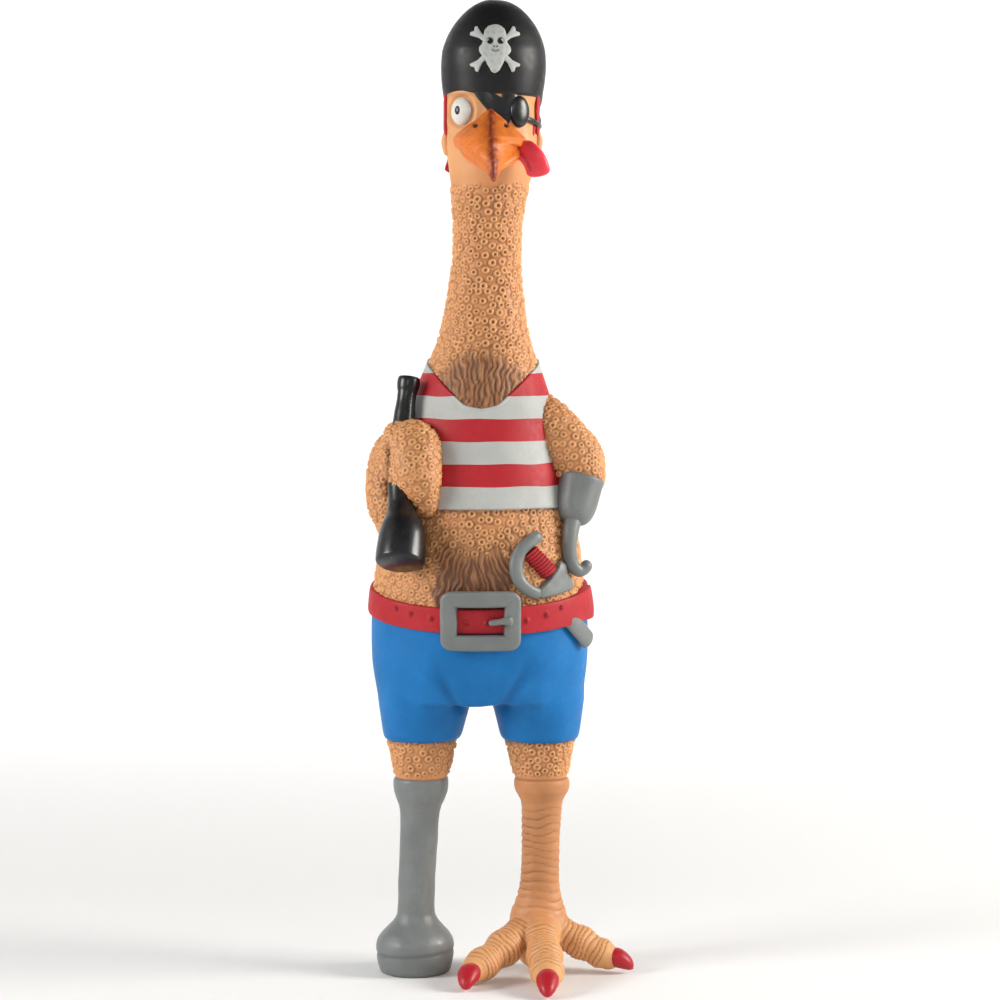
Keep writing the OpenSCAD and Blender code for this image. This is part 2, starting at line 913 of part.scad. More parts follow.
module left_foot() {
    color("sandybrown") moulded() difference() {
        foot_form();
        translate([-far / 2, -far / 2, 29.5]) cube([far, far, far]);
        translate([-far / 2, -far / 2, -far]) cube([far, far, far]);
        claw(inner_claw_balls, gap);
        claw(middle_claw_balls, gap);
        claw(outer_claw_balls, gap);
    }
}

module claw(balls, grow = 0) {
    hull() {
        ball(balls[0], grow);
        ball(balls[1], grow);
    }
}

module inner_claw() {
    color("crimson") claw(inner_claw_balls);
}

module middle_claw() {
    color("crimson") claw(middle_claw_balls);
}

module outer_claw() {
    color("crimson") claw(outer_claw_balls);
}

translate(stand) torso_skin();
translate(stand) shirt_white();
translate(stand) shirt_red();
translate(stand) trunks();
translate(stand) belt();
translate(stand) buckle_frame();
translate(stand) buckle_prong();
translate(stand) right_wing();
translate(stand) left_wing();
translate(stand) bottle();
translate(stand) hook_cuff();
translate(stand) hook();
translate(stand) cutlass_guard();
translate(stand) cutlass_grip();
translate(stand) cutlass_crossguard();
translate(stand) cutlass_blade();
translate(stand) squeaker_port();
translate(stand) squeaker_barrel();
translate(stand) squeaker_reed_seat();
translate(stand) squeaker_reed();
translate(stand) squeaker_cap();
translate(stand) neck_skin();
translate(stand) head_skin();
translate(stand) hat();
translate(stand) skull_badge();
translate(stand) crossbones();
translate(stand) head_scarf();
translate(stand) ear_lobes();
translate(stand) right_eyeball();
translate(stand) right_pupil();
translate(stand) eye_patch();
translate(stand) eye_patch_strap();
translate(stand) upper_beak();
translate(stand) lower_beak();
translate(stand) tongue();
translate(stand) right_thigh_skin();
translate(stand) peg_leg();
translate(stand) left_thigh_skin();
translate(stand) left_shank();
translate(stand) left_foot();
translate(stand) inner_claw();
translate(stand) middle_claw();
translate(stand) outer_claw();
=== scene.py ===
"""A pirate rubber chicken, a moulded and painted latex squeeze toy: its looks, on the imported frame.

Shapes are worked out in toy millimetres: x from the toy's middle towards its own left, y from the
plane of its legs towards its back, and z up from the floor. It faces -y. to_frame() turns them into
the frame.
"""

import json
import math

import bpy
import numpy as np
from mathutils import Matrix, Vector
from mathutils.kdtree import KDTree


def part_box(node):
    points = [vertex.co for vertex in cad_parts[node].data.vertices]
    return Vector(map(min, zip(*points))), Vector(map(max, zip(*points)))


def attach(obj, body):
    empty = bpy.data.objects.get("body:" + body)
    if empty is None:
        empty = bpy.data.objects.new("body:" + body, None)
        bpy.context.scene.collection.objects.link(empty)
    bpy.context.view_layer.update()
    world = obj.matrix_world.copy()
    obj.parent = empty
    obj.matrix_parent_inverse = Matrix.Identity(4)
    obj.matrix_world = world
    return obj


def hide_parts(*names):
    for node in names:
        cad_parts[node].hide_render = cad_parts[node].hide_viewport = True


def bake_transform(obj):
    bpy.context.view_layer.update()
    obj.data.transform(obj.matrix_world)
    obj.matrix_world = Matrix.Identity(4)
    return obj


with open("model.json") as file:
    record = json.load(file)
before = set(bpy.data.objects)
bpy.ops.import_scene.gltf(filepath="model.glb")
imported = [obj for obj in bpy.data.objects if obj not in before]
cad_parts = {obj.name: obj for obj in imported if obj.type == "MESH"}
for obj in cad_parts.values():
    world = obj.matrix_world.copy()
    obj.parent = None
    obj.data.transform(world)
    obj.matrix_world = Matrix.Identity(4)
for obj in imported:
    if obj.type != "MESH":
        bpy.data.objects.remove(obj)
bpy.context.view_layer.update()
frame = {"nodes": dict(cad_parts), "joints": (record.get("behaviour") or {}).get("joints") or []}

MM = 0.001
TURN = 2 * math.pi
PIVOT = {j["name"]: np.array(j["pos_m"]) for j in frame["joints"]}
MIDDLE = (PIVOT["right_leg_bend"] + PIVOT["left_leg_bend"]) / 2 * (1, 1, 0)
LEG_X = (PIVOT["left_leg_bend"] - MIDDLE)[0] / MM
NECK_Z = PIVOT["neck_bend"][2] / MM
HEAD_Z = PIVOT["head_nod"][2] / MM


# ---------------------------------------------------------------- numbers

def to_frame(points):
    return np.asarray(points, float) * MM + MIDDLE


def smooth(xs, ys, x):
    """A smooth curve through (xs, ys) that doesn't overshoot between them."""
    xs, ys = np.asarray(xs, float), np.asarray(ys, float)
    x = np.clip(x, xs[0], xs[-1])
    step, slope = np.diff(xs), np.diff(ys) / np.diff(xs)
    tangent = np.zeros_like(ys)
    same = slope[:-1] * slope[1:] > 0
    total = np.where(same, slope[:-1] + slope[1:], 1)
    tangent[1:-1] = np.where(same, 2 * slope[:-1] * slope[1:] / total, 0)
    tangent[0], tangent[-1] = slope[0], slope[-1]
    i = np.clip(np.searchsorted(xs, x) - 1, 0, len(step) - 1)
    t = (x - xs[i]) / step[i]
    return (
        (2 * t**3 - 3 * t**2 + 1) * ys[i] + (t**3 - 2 * t**2 + t) * step[i] * tangent[i]
        + (3 * t**2 - 2 * t**3) * ys[i + 1] + (t**3 - t**2) * step[i] * tangent[i + 1]
    )


def fade(value, start, end):
    """0 before start, 1 after end, smooth between."""
    t = np.clip((value - start) / (end - start), 0, 1)
    return t * t * (3 - 2 * t)


def bell(value, width):
    """1 at zero, falling away smoothly over about width on each side."""
    return np.exp(-((value / width) ** 2))


def circle(count):
    """Evenly spaced angles all the way round a form."""
    return np.arange(count) / count * TURN - math.pi


def ripple(seed, size, *coords):
    """Soft noise between about -1 and 1 that changes over about size millimetres."""
    rng = np.random.RandomState(seed)
    total = 0
    for _ in range(8):
        direction = rng.normal(size=len(coords))
        direction *= rng.uniform(0.6, 1.5) / (np.linalg.norm(direction) + 1e-9)
        phase = sum(d * c for d, c in zip(direction, coords)) * 2 * math.pi / size
        total = total + np.sin(phase + rng.uniform(0, 2 * math.pi))
    return total / 4


def signed_power(value, power):
    return np.sign(value) * np.abs(value) ** power


def route(points, count):
    """Evenly spaced points on a rounded curve through the given ones."""
    p = np.asarray(points, float)
    p = np.vstack([2 * p[0] - p[1], p, 2 * p[-1] - p[-2]])
    dense = []
    for k in range(1, len(p) - 2):
        t = np.linspace(0, 1, 60, endpoint=k == len(p) - 3)[:, None]
        a, b, c, d = p[k - 1 : k + 3]
        curve = 2 * b + (c - a) * t + (2 * a - 5 * b + 4 * c - d) * t**2
        dense.append(0.5 * (curve + (3 * b - a - 3 * c + d) * t**3))
    dense = np.vstack(dense)
    length = np.concatenate([[0], np.cumsum(np.linalg.norm(np.diff(dense, axis=0), axis=1))])
    want = np.linspace(0, length[-1], count)
    return np.stack([np.interp(want, length, dense[:, k]) for k in range(dense.shape[1])], -1)


# ---------------------------------------------------------------- forms and shapes

class Form:
    """A smooth upright skin over rings.

    Each ring is [z, middle x, middle y, half width, depth in front, depth behind].
    """

    def __init__(self, rings, power=2.0):
        table = np.array(rings, float)
        self.z, self.columns, self.bend = table[:, 0], table[:, 1:].T, 2 / power

    def skin(self, angle, z):
        x, y, w, front, back = (smooth(self.z, column, z) for column in self.columns)
        c, s = signed_power(np.cos(angle), self.bend), signed_power(np.sin(angle), self.bend)
        return np.stack(np.broadcast_arrays(x + w * c, y + np.where(s < 0, front, back) * s, z), -1)

    def normal(self, angle, z):
        across = self.skin(angle + 0.004, z) - self.skin(angle - 0.004, z)
        up = self.skin(angle, z + 0.1) - self.skin(angle, z - 0.1)
        n = np.cross(across, up)
        return n / (np.linalg.norm(n, axis=-1, keepdims=True) + 1e-12)

    def at(self, angle, z, out=0.0):
        angle, z = np.asarray(angle, float), np.asarray(z, float)
        return self.skin(angle, z) + np.asarray(out, float)[..., None] * self.normal(angle, z)

    def rings(self, z, angle):
        """Rows of points, one row for each height."""
        return self.at(angle[None] + 0 * z[:, None], z[:, None] + 0 * angle[None])

    def facing(self, x, z):
        """The angle of the skin's front at a given x."""
        middle, width = smooth(self.z, self.columns[0], z), smooth(self.z, self.columns[2], z)
        share = np.clip((x - middle) / width, -0.985, 0.985)
        return -np.arccos(signed_power(share, 1 / self.bend))

    def front(self, x, z, out=0.0):
        return self.at(self.facing(x, z), z, out)


class Shape:
    """Points, faces and the paint on each point."""

    def __init__(self, points, faces):
        self.points = np.asarray(points, float).reshape(-1, 3)
        self.faces = [np.asarray(f, int) for f in faces if len(f)]
        # per point: a darker mix (painted shade and darker own tone), a lighter mix (painted
        # highlight and lighter own tone) and black ink
        self.paint = {k: np.zeros(len(self.points)) for k in ("wash", "lift", "ink")}

    def normals(self):
        total = np.zeros_like(self.points)
        for f in self.faces:
            p = self.points[f]
            n = np.cross(p[:, 2] - p[:, 0], p[:, -1] - p[:, 1])
            for k in range(f.shape[1]):
                np.add.at(total, f[:, k], n)
        return total / (np.linalg.norm(total, axis=1, keepdims=True) + 1e-12)

    def push(self, height):
        self.points = self.points + self.normals() * np.asarray(height)[..., None]
        return self

    def add_paint(self, **amounts):
        for name, amount in amounts.items():
            self.paint[name] = np.clip(self.paint[name] + amount, 0, 1)
        return self


def grid(points, wrap=True, low=False, high=False, wrap_rows=False):
    """A sheet or tube through rows of points; low and high close its first and last rows."""
    rows, cols = points.shape[:2]
    flat = points.reshape(-1, 3)
    r, c = np.meshgrid(
        np.arange(rows if wrap_rows else rows - 1), np.arange(cols if wrap else cols - 1),
        indexing="ij"
    )
    n, u = (c + 1) % cols, (r + 1) % rows
    faces = [np.stack([r * cols + c, r * cols + n, u * cols + n, u * cols + c], -1).reshape(-1, 4)]
    ring = np.arange(cols)
    for wanted, row, flip in ((low, 0, True), (high, rows - 1, False)):
        if wanted:
            flat = np.vstack([flat, points[row].mean(axis=0)])
            edge = row * cols + ring
            middle = np.full(cols, len(flat) - 1)
            after = np.roll(edge, -1)
            faces.append(np.stack([after, edge, middle] if flip else [edge, after, middle], -1))
    return Shape(flat, faces)


def tube(form, z, angle):
    """A form's skin at the given heights and angles, closed at both ends."""
    return grid(form.rings(z, angle), low=True, high=True)


def merge(*shapes):
    offset, points, faces = 0, [], []
    for s in shapes:
        points.append(s.points)
        faces += [f + offset for f in s.faces]
        offset += len(s.points)
    joined = Shape(np.vstack(points), faces)
    for k in joined.paint:
        joined.paint[k] = np.concatenate([s.paint[k] for s in shapes])
    return joined


def sweep(path, wide, thick, side, count=48, power=2.0):
    """A closed tube along a path: wide and thick are its half sizes, and side is the wide way."""
    path = np.asarray(path, float)
    along = np.gradient(path, axis=0)
    along /= np.linalg.norm(along, axis=1, keepdims=True)
    side = np.broadcast_to(np.asarray(side, float), path.shape)
    across = side - (side * along).sum(1, keepdims=True) * along
    across /= np.linalg.norm(across, axis=1, keepdims=True)
    up = np.cross(along, across)
    t = np.arange(count) / count * 2 * math.pi
    c, s = signed_power(np.cos(t), 2 / power), signed_power(np.sin(t), 2 / power)
    wide, thick = np.broadcast_to(wide, len(path)), np.broadcast_to(thick, len(path))
    points = (
        path[:, None] + across[:, None] * (wide[:, None] * c)[..., None]
        + up[:, None] * (thick[:, None] * s)[..., None]
    )
    return grid(points, low=True, high=True)


def rounded_ends(count, length, first, last):
    """Shares of full size along a tube whose ends are rounded over the given lengths."""
    s = np.linspace(0, length, count)
    near = np.ones(count)
    if first:
        near = np.minimum(near, np.sqrt(np.clip(1 - (1 - np.minimum(s / first, 1)) ** 2, 0.002, 1)))
    if last:
        near = np.minimum(
            near, np.sqrt(np.clip(1 - (1 - np.minimum((length - s) / last, 1)) ** 2, 0.002, 1))
        )
    return near


def ball_chain(balls, count=40):
    """Overlapping tapered lengths from ball to ball, as [x, y, z, radius]."""
    table = np.asarray(balls, float)
    line = route(table[:, :3], 60)
    share = np.linspace(0, 1, len(line))
    own = np.concatenate([[0], np.cumsum(np.linalg.norm(np.diff(table[:, :3], axis=0), axis=1))])
    radius = smooth(own / own[-1], table[:, 3], share)
    first, last = table[0, 3], table[-1, 3]
    start = line[0] - line[1]
    end = line[-1] - line[-2]
    cap = np.sin(np.linspace(0, math.pi / 2, 12))[::-1]
    head = line[0] + start / np.linalg.norm(start) * first * cap[:-1, None]
    tail = line[-1] + end / np.linalg.norm(end) * last * cap[::-1][1:, None]
    reach = np.sqrt(1 - cap[:-1] ** 2)
    path = np.vstack([head, line, tail])
    size = np.concatenate(
        [first * np.maximum(reach, 0.02), radius, last * np.maximum(reach[::-1], 0.02)]
    )
    side = (
        np.array([0.3, 0.2, 0.9]) if abs(end[2]) < 0.8 * np.linalg.norm(end)
        else np.array([1, 0.3, 0])
    )
    return sweep(path, size, size, side, count)


def melt(shapes, voxel, passes):
    """The union of closed shapes, remeshed evenly, with its joins softened."""
    whole = merge(*shapes)
    mesh = make_mesh("melt", whole)
    obj = bpy.data.objects.new("melt", mesh)
    bpy.context.collection.objects.link(obj)
    remesh = obj.modifiers.new("remesh", "REMESH")
    remesh.mode, remesh.voxel_size = "VOXEL", voxel * MM
    soften = obj.modifiers.new("soften", "SMOOTH")
    soften.factor, soften.iterations = 0.5, passes
    done = bpy.data.meshes.new_from_object(obj.evaluated_get(bpy.context.evaluated_depsgraph_get()))
    points = np.empty(len(done.vertices) * 3)
    done.vertices.foreach_get("co", points)
    corners = np.empty(len(done.loops), int)
    done.loops.foreach_get("vertex_index", corners)
    sizes = np.empty(len(done.polygons), int)
    done.polygons.foreach_get("loop_total", sizes)
    starts = np.cumsum(sizes) - sizes
    faces = [corners[starts[sizes == k][:, None] + np.arange(k)] for k in np.unique(sizes)]
    shape = Shape((points.reshape(-1, 3) - MIDDLE) / MM, faces)
    bpy.data.objects.remove(obj)
    bpy.data.meshes.remove(mesh)
    bpy.data.meshes.remove(done)
    return shape


def cut_away(shape, keep):
    """The shape without the faces that have no kept point, and without loose points."""
    faces = [f[keep[f].any(axis=1)] for f in shape.faces]
    used = np.unique(np.concatenate([f.ravel() for f in faces]))
    number = np.full(len(shape.points), -1)
    number[used] = np.arange(len(used))
    left = Shape(shape.points[used], [number[f] for f in faces])
    left.paint = {k: v[used] for k, v in shape.paint.items()}
    return left


# ---------------------------------------------------------------- moulded detail

def scatter(points, allowed, gap, seed):
    """Points picked at random that lie at least gap apart."""
    rng = np.random.RandomState(seed)
    order = rng.permutation(np.flatnonzero(allowed > 0.5))[:45000]
    cells, kept = {}, []
    for x, y, z in points[order].tolist():
        home = (int(x // gap), int(y // gap), int(z // gap))
        near = [
            q for i in (-1, 0, 1) for j in (-1, 0, 1) for k in (-1, 0, 1)
            for q in cells.get((home[0] + i, home[1] + j, home[2] + k), ())
        ]
        if all((x - a) ** 2 + (y - b) ** 2 + (z - c) ** 2 >= gap * gap for a, b, c in near):
            cells.setdefault(home, []).append((x, y, z))
            kept.append((x, y, z))
    return kept


def pimple(shape, allowed, seed, gap=2.95, height=0.88):
    """Feather follicles: raised rings with a pit in the middle, all over the allowed skin."""
    centres = scatter(shape.points, allowed, gap, seed)
    tree = KDTree(len(centres))
    for k, p in enumerate(centres):
        tree.insert(p, k)
    tree.balance()
    found = [tree.find(p)[1:] for p in shape.points.tolist()]
    which = np.array([k for k, _ in found])
    distance = np.array([d for _, d in found])
    rng = np.random.RandomState(seed + 1)
    size = rng.uniform(0.78, 1.04, len(centres))[which]
    strength = rng.uniform(0.65, 1.15, len(centres))[which] * allowed
    r = distance / size
    ring = bell(r - 1.12, 0.46)
    pit = bell(r, 0.55)
    moat = bell(r - 2.05, 0.4)
    shape.push(strength * height * (ring - 0.4 * pit - 0.22 * moat))
    # painted shade in the pits and the moats round the rings, painted highlight on the ring crests
    return shape.add_paint(wash=strength * (0.9 * pit + 0.55 * moat), lift=0.7 * strength * ring)


def comb(shape, area, phase, seed, height=0.55):
    """Wavy strands of moulded hair over an area, painted brown all over, with painted shade darkening
    the gaps between them.
    """
    x, _, z = shape.points.T
    warp = 2.4 * ripple(seed, 10, x, z) + 1.3 * ripple(seed + 3, 4.5, x, z * 0.7)
    lock = 0.5 + 0.5 * np.sin(phase + warp)
    fine = 0.5 + 0.5 * np.sin(2.3 * phase + 0.8 * warp + 2.0 * ripple(seed + 1, 8, x, z))
    clumps = 0.5 + 0.5 * ripple(seed + 2, 6, x * 1.6, z * 0.6)
    strand = (0.62 * lock**1.5 + 0.38 * fine) * (0.55 + 0.45 * np.clip(clumps, 0, 1))
    shape.push(area * height * (1.7 * strand - 0.15))
    gaps = np.clip(1 - 1.3 * strand, 0, 1)
    # brown over the whole hair area, and painted shade between the strands
    return shape.add_paint(wash=area * (0.36 + 0.8 * gaps))


# ---------------------------------------------------------------- materials

def nodes_of(name):
    material = bpy.data.materials.new(name)
    material.use_nodes = True
    nodes = material.node_tree.nodes
    return material, nodes, material.node_tree.links, nodes["Principled BSDF"]


def latex(
    name, base, wash, lift=None, roughness=0.5, coat=0.0, grain=0.25, mottle=0.05, soft=0.1,
    shine=0.32
):
    """Painted latex: faint mottling, painted shade darkening hollows, creases and joins along with
    darker areas of the toy's own paint, and a fine grain.
    """
    material, nodes, links, shader = nodes_of(name)
    place = nodes.new("ShaderNodeAttribute")
    place.attribute_name = "rest"

    def noise(scale, detail):
        node = nodes.new("ShaderNodeTexNoise")
        node.inputs["Scale"].default_value = scale
        node.inputs["Detail"].default_value = detail
        links.new(place.outputs["Vector"], node.inputs["Vector"])
        return node.outputs["Fac"]

    def spread(value, low, high):
        node = nodes.new("ShaderNodeMapRange")
        node.inputs["From Min"].default_value, node.inputs["From Max"].default_value = 0.3, 0.7
        node.inputs["To Min"].default_value, node.inputs["To Max"].default_value = low, high
        links.new(value, node.inputs["Value"])
        return node.outputs["Result"]

    def mix(first, second, amount, way="MIX"):
        node = nodes.new("ShaderNodeMix")
        node.data_type, node.blend_type = "RGBA", way
        for socket, value in ((node.inputs[6], first), (node.inputs[7], second)):
            if isinstance(value, tuple):
                socket.default_value = (*value, 1)
            else:
                links.new(value, socket)
        links.new(amount, node.inputs[0])
        return node.outputs[2]

    def paint(which):
        node = nodes.new("ShaderNodeAttribute")
        node.attribute_name = which
        return node.outputs["Fac"]

    dark = tuple(c * (1 - mottle * 2.4) for c in base)
    light = tuple(min(1, c * (1 + mottle * 1.6) + mottle * 0.1) for c in base)
    colour = mix(dark, light, spread(noise(0.07, 3), 0, 1))
    colour = mix(colour, tuple(c * 0.93 for c in base), spread(noise(0.6, 2), 0, 0.6))
    # lighter colour: painted highlight on raised crests and on the toes, and the toy's own lighter
    # tone in places
    if lift:
        colour = mix(colour, lift, paint("lift"))
    # darker colour: painted shade in hollows, creases and joins, mixed with darker areas of the toy's
    # own paint
    colour = mix(colour, wash, paint("wash"))
    colour = mix(colour, (0.006, 0.005, 0.006), paint("ink"))
    links.new(colour, shader.inputs["Base Color"])
    links.new(
        spread(noise(0.35, 3), roughness - 0.06, roughness + 0.08), shader.inputs["Roughness"]
    )
    shader.inputs["Specular IOR Level"].default_value = shine
    shader.inputs["Coat Weight"].default_value = coat
    shader.inputs["Coat Roughness"].default_value = 0.22
    shader.inputs["Subsurface Weight"].default_value = soft
    shader.inputs["Subsurface Radius"].default_value = (1.0, 0.45, 0.25)
    shader.inputs["Subsurface Scale"].default_value = 1.6 * MM
    bump = nodes.new("ShaderNodeBump")
    bump.inputs["Strength"].default_value = grain
    bump.inputs["Distance"].default_value = 0.08 * MM
    links.new(noise(1.7, 4), bump.inputs["Height"])
    links.new(bump.outputs["Normal"], shader.inputs["Normal"])
    return material


def plastic(name, base, roughness):
    """Moulded plastic for the squeaker."""
    material, nodes, links, shader = nodes_of(name)
    shader.inputs["Base Color"].default_value = (*base, 1)
    place = nodes.new("ShaderNodeTexCoord")
    grain = nodes.new("ShaderNodeTexNoise")
    grain.inputs["Scale"].default_value = 900
    links.new(place.outputs["Object"], grain.inputs["Vector"])
    spread = nodes.new("ShaderNodeMapRange")
    spread.inputs["To Min"].default_value = roughness - 0.08
    spread.inputs["To Max"].default_value = roughness + 0.1
    links.new(grain.outputs["Fac"], spread.inputs["Value"])
    links.new(spread.outputs["Result"], shader.inputs["Roughness"])
    bump = nodes.new("ShaderNodeBump")
    bump.inputs["Strength"].default_value, bump.inputs["Distance"].default_value = 0.2, 0.05 * MM
    links.new(grain.outputs["Fac"], bump.inputs["Height"])
    links.new(bump.outputs["Normal"], shader.inputs["Normal"])
    return material


MATERIALS = {
    # the skin's lighter colour is painted highlight on follicle crests and toes, and the neck's real
    # blend towards the face tone
    "skin": latex(
        "skin", (0.61, 0.262, 0.096), (0.15, 0.055, 0.02), lift=(0.86, 0.47, 0.20), roughness=0.52,
        shine=0.5
    ),
    "face": latex("face", (0.685, 0.324, 0.127), (0.25, 0.09, 0.035), roughness=0.52, shine=0.5),
    "shirt_white": latex(
        "shirt_white", (0.46, 0.47, 0.455), (0.12, 0.08, 0.06), roughness=0.6, mottle=0.05
    ),
    "red_paint": latex(
        "red_paint", (0.43, 0.010, 0.018), (0.09, 0.004, 0.007), roughness=0.55, mottle=0.06
    ),
    "blue_paint": latex(
        "blue_paint", (0.002, 0.156, 0.445), (0.002, 0.05, 0.16), roughness=0.5, mottle=0.06,
        shine=0.25
    ),
    "grey_paint": latex(
        "grey_paint", (0.172, 0.187, 0.185), (0.035, 0.038, 0.04), roughness=0.42, mottle=0.07,
        shine=0.5
    ),
    "black_gloss": latex(
        "black_gloss", (0.004, 0.004, 0.005), (0.002, 0.002, 0.002), roughness=0.32, coat=0.35,
        soft=0
    ),
    "hat_black": latex(
        "hat_black", (0.004, 0.004, 0.005), (0.002, 0.002, 0.002), lift=(0.08, 0.045, 0.03),
        roughness=0.42, soft=0
    ),
    "badge_white": latex(
        "badge_white", (0.47, 0.49, 0.47), (0.10, 0.11, 0.10), roughness=0.6, mottle=0.08
    ),
    "eye_white": latex(
        "eye_white", (0.70, 0.68, 0.64), (0.25, 0.12, 0.07), roughness=0.28, coat=0.4, mottle=0.02
    ),
    "beak_orange": latex(
        "beak_orange", (0.72, 0.18, 0.018), (0.2, 0.03, 0.01), roughness=0.44, mottle=0.1
    ),
    "tongue_red": latex(
        "tongue_red", (0.95, 0.05, 0.08), (0.3, 0.01, 0.02), roughness=0.36, coat=0.3
    ),
    "claw_red": latex(
        "claw_red", (0.44, 0.010, 0.02), (0.16, 0.004, 0.01), roughness=0.4, coat=0.1
    ),
    "squeaker_plastic": plastic("squeaker_plastic", (0.78, 0.78, 0.75), 0.35),
    "reed_film": plastic("reed_film", (0.70, 0.60, 0.32), 0.4),
}


# ---------------------------------------------------------------- pieces

def make_mesh(name, shape):
    mesh = bpy.data.meshes.new(name)
    mesh.vertices.add(len(shape.points))
    mesh.vertices.foreach_set("co", to_frame(shape.points).astype(np.float32).ravel())
    sizes = np.concatenate([np.full(len(f), f.shape[1]) for f in shape.faces])
    mesh.loops.add(int(sizes.sum()))
    mesh.loops.foreach_set(
        "vertex_index", np.concatenate([f.ravel() for f in shape.faces]).astype(np.int32)
    )
    mesh.polygons.add(len(sizes))
    mesh.polygons.foreach_set("loop_start", (np.cumsum(sizes) - sizes).astype(np.int32))
    mesh.polygons.foreach_set("use_smooth", np.ones(len(sizes), bool))
    mesh.update(calc_edges=True)
    return mesh


def piece(name, shape, material, body, *nodes, across=None, edge_normals=None):
    """A shown piece: it rides on a body, or is left unparented in the frame when across is given, and
    stands for some CAD nodes.
    """
    mesh = make_mesh(name, shape)
    mesh.materials.append(MATERIALS[material])
    for key, values in shape.paint.items():
        mesh.attributes.new(key, "FLOAT", "POINT").data.foreach_set(
            "value", values.astype(np.float32)
        )
    rest = mesh.attributes.new("rest", "FLOAT_VECTOR", "POINT")
    rest.data.foreach_set("vector", shape.points.astype(np.float32).ravel())
    if edge_normals is not None:
        mesh.normals_split_custom_set_from_vertices(edge_normals.astype(np.float32))
    obj = bpy.data.objects.new(name, mesh)
    bpy.context.collection.objects.link(obj)
    if across:
        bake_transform(obj)
    else:
        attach(obj, body)
    if nodes:
        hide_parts(*nodes)
    return obj


# Rings of [z, middle x, middle y, half width, depth in front, depth behind]
BODY = Form([
    [114, 0, 0, 42, 25, 26], [121, 0, 0, 44.5, 30, 31], [130, -0.5, 0, 46, 34, 35],
    [140, -0.6, 0, 47.3, 37, 38],
    [150, -0.6, 0, 47.6, 38.4, 39], [162, -0.7, 0, 47.3, 39.4, 38.4],
    [172, -0.9, 0, 46.2, 40.2, 37.6],
    [182, -0.8, 0, 45, 40.2, 36], [194, -0.4, 0, 43, 38.6, 34], [208, 0, 0, 40, 36, 32],
    [226, 0, 0, 36.2, 32.5, 30.2],
    [240, 0, 0, 33.4, 29.8, 28.4], [250, 0.1, 0, 31, 27.6, 26.8], [258, 0.3, 0, 28.8, 25.4, 25.2],
    [265, 0.6, 0, 26.2, 23.4, 23.4], [271, 0.9, 0, 24, 21.8, 21.8], [277, 1.2, 0, 21.4, 20, 20],
    [283, 1.4, 0, 19.6, 18.6, 18.6], [290, 1.6, 0, 18, 17.4, 17.4], [298, 1.9, 0, 16.8, 16.4, 16.4],
    [308, 2.2, 0, 15.5, 15.3, 15.3], [318, 2.5, 0, 14.6, 14.6, 14.6],
    [330, 2.9, 0, 14.7, 14.6, 14.8],
    [340, 3.3, 0, 15.6, 15.2, 15.8], [348, 3.8, 0, 16.8, 16.4, 17.4], [356, 4.6, 0, 18.6, 18, 19.6],
    [366, 4.9, 0, 20, 19, 21.8], [378, 4.8, 0, 20, 19.6, 22.8], [390, 5, 0, 20.2, 19.4, 23],
    [402, 5.5, 0, 20, 18.6, 22], [413, 5.5, 0, 16, 14.6, 17.4], [421, 5.5, 0, 9.4, 8.6, 10.4],
    [424, 5.5, 0, 3, 3, 3],
])
NECK_SPLIT_Z = (NECK_Z + HEAD_Z) / 2
SEAM_STEP, SEAM_COLUMNS = 0.46, 262
CHEST_Z = 242
FACE_Z = CHEST_Z + SEAM_STEP * round((HEAD_Z + 6 - CHEST_Z) / SEAM_STEP)
HEM_Z, STRIPE = 208.5, 9.7


def skin_grid(low, high):
    """Body rows at the spacing that the neck and the face share, so that their edges match."""
    z = np.arange(low, high + SEAM_STEP / 2, SEAM_STEP)
    return BODY.rings(z, circle(SEAM_COLUMNS)), z


def rows_of(shape, picked, columns):
    """Whole rows of a tube, with their paint."""
    part = grid(shape.points[picked].reshape(-1, columns, 3))
    part.paint = {k: v[picked] for k, v in shape.paint.items()}
    return part


def chest_hair_area(x, y, z):
    """Where hair covers the chest: thick low down, thinning out upwards in a ragged edge."""
    ragged = 2.2 * ripple(5, 5, x, z * 0.3)
    return (
        fade(z, 246, 249) * fade(281 - 0.034 * (x - 0.5) ** 2 + ragged - z, 0, 9) * fade(-y, 8, 16)
        * fade(22 - np.abs(x - 0.5) + ragged, 0, 5)
    )


def make_neck():
    points, z = skin_grid(CHEST_Z, FACE_Z + SEAM_STEP)
    shape = grid(points)
    x, y, height = shape.points.T
    pimples = (
        fade(350.5 + ripple(3, 12, x, y) - height, 0, 2.5)
        * fade(height - neckline(np.arctan2(y, x)), -2.4, -0.6)
    )
    hairy = chest_hair_area(x, y, height)
    pimple(shape, pimples * (1 - fade(hairy, 0.35, 0.8)), 21)
    comb(
        shape, hairy,
        TURN * (x + 0.7 * ripple(6, 14, x * 0.4, height)) * (1 - 0.006 * (height - 260)) / 2.3, 11,
        height=0.7
    )
    shape.add_paint(lift=0.3 * fade(height, 346, FACE_Z))
    normals = shape.normals()
    columns = points.shape[1]
    split = int(np.argmin(np.abs(z - NECK_SPLIT_Z)))
    for name, rows, bodies, start, end in (
        ("neck_lower", slice(0, split + 1), ("torso", "neck"), 268, 306),
        ("neck_upper", slice(split, len(z) - 1), ("neck", "head"), 336, FACE_Z),
    ):
        picked = np.arange(len(z) * columns).reshape(len(z), columns)[rows].ravel()
        part = rows_of(shape, picked, columns)
        nodes = ("neck_skin",) if name == "neck_lower" else ()
        piece(
            name, part, "skin", bodies, *nodes, across=((0, 0, start), (0, 0, end)),
            edge_normals=normals[picked]
        )


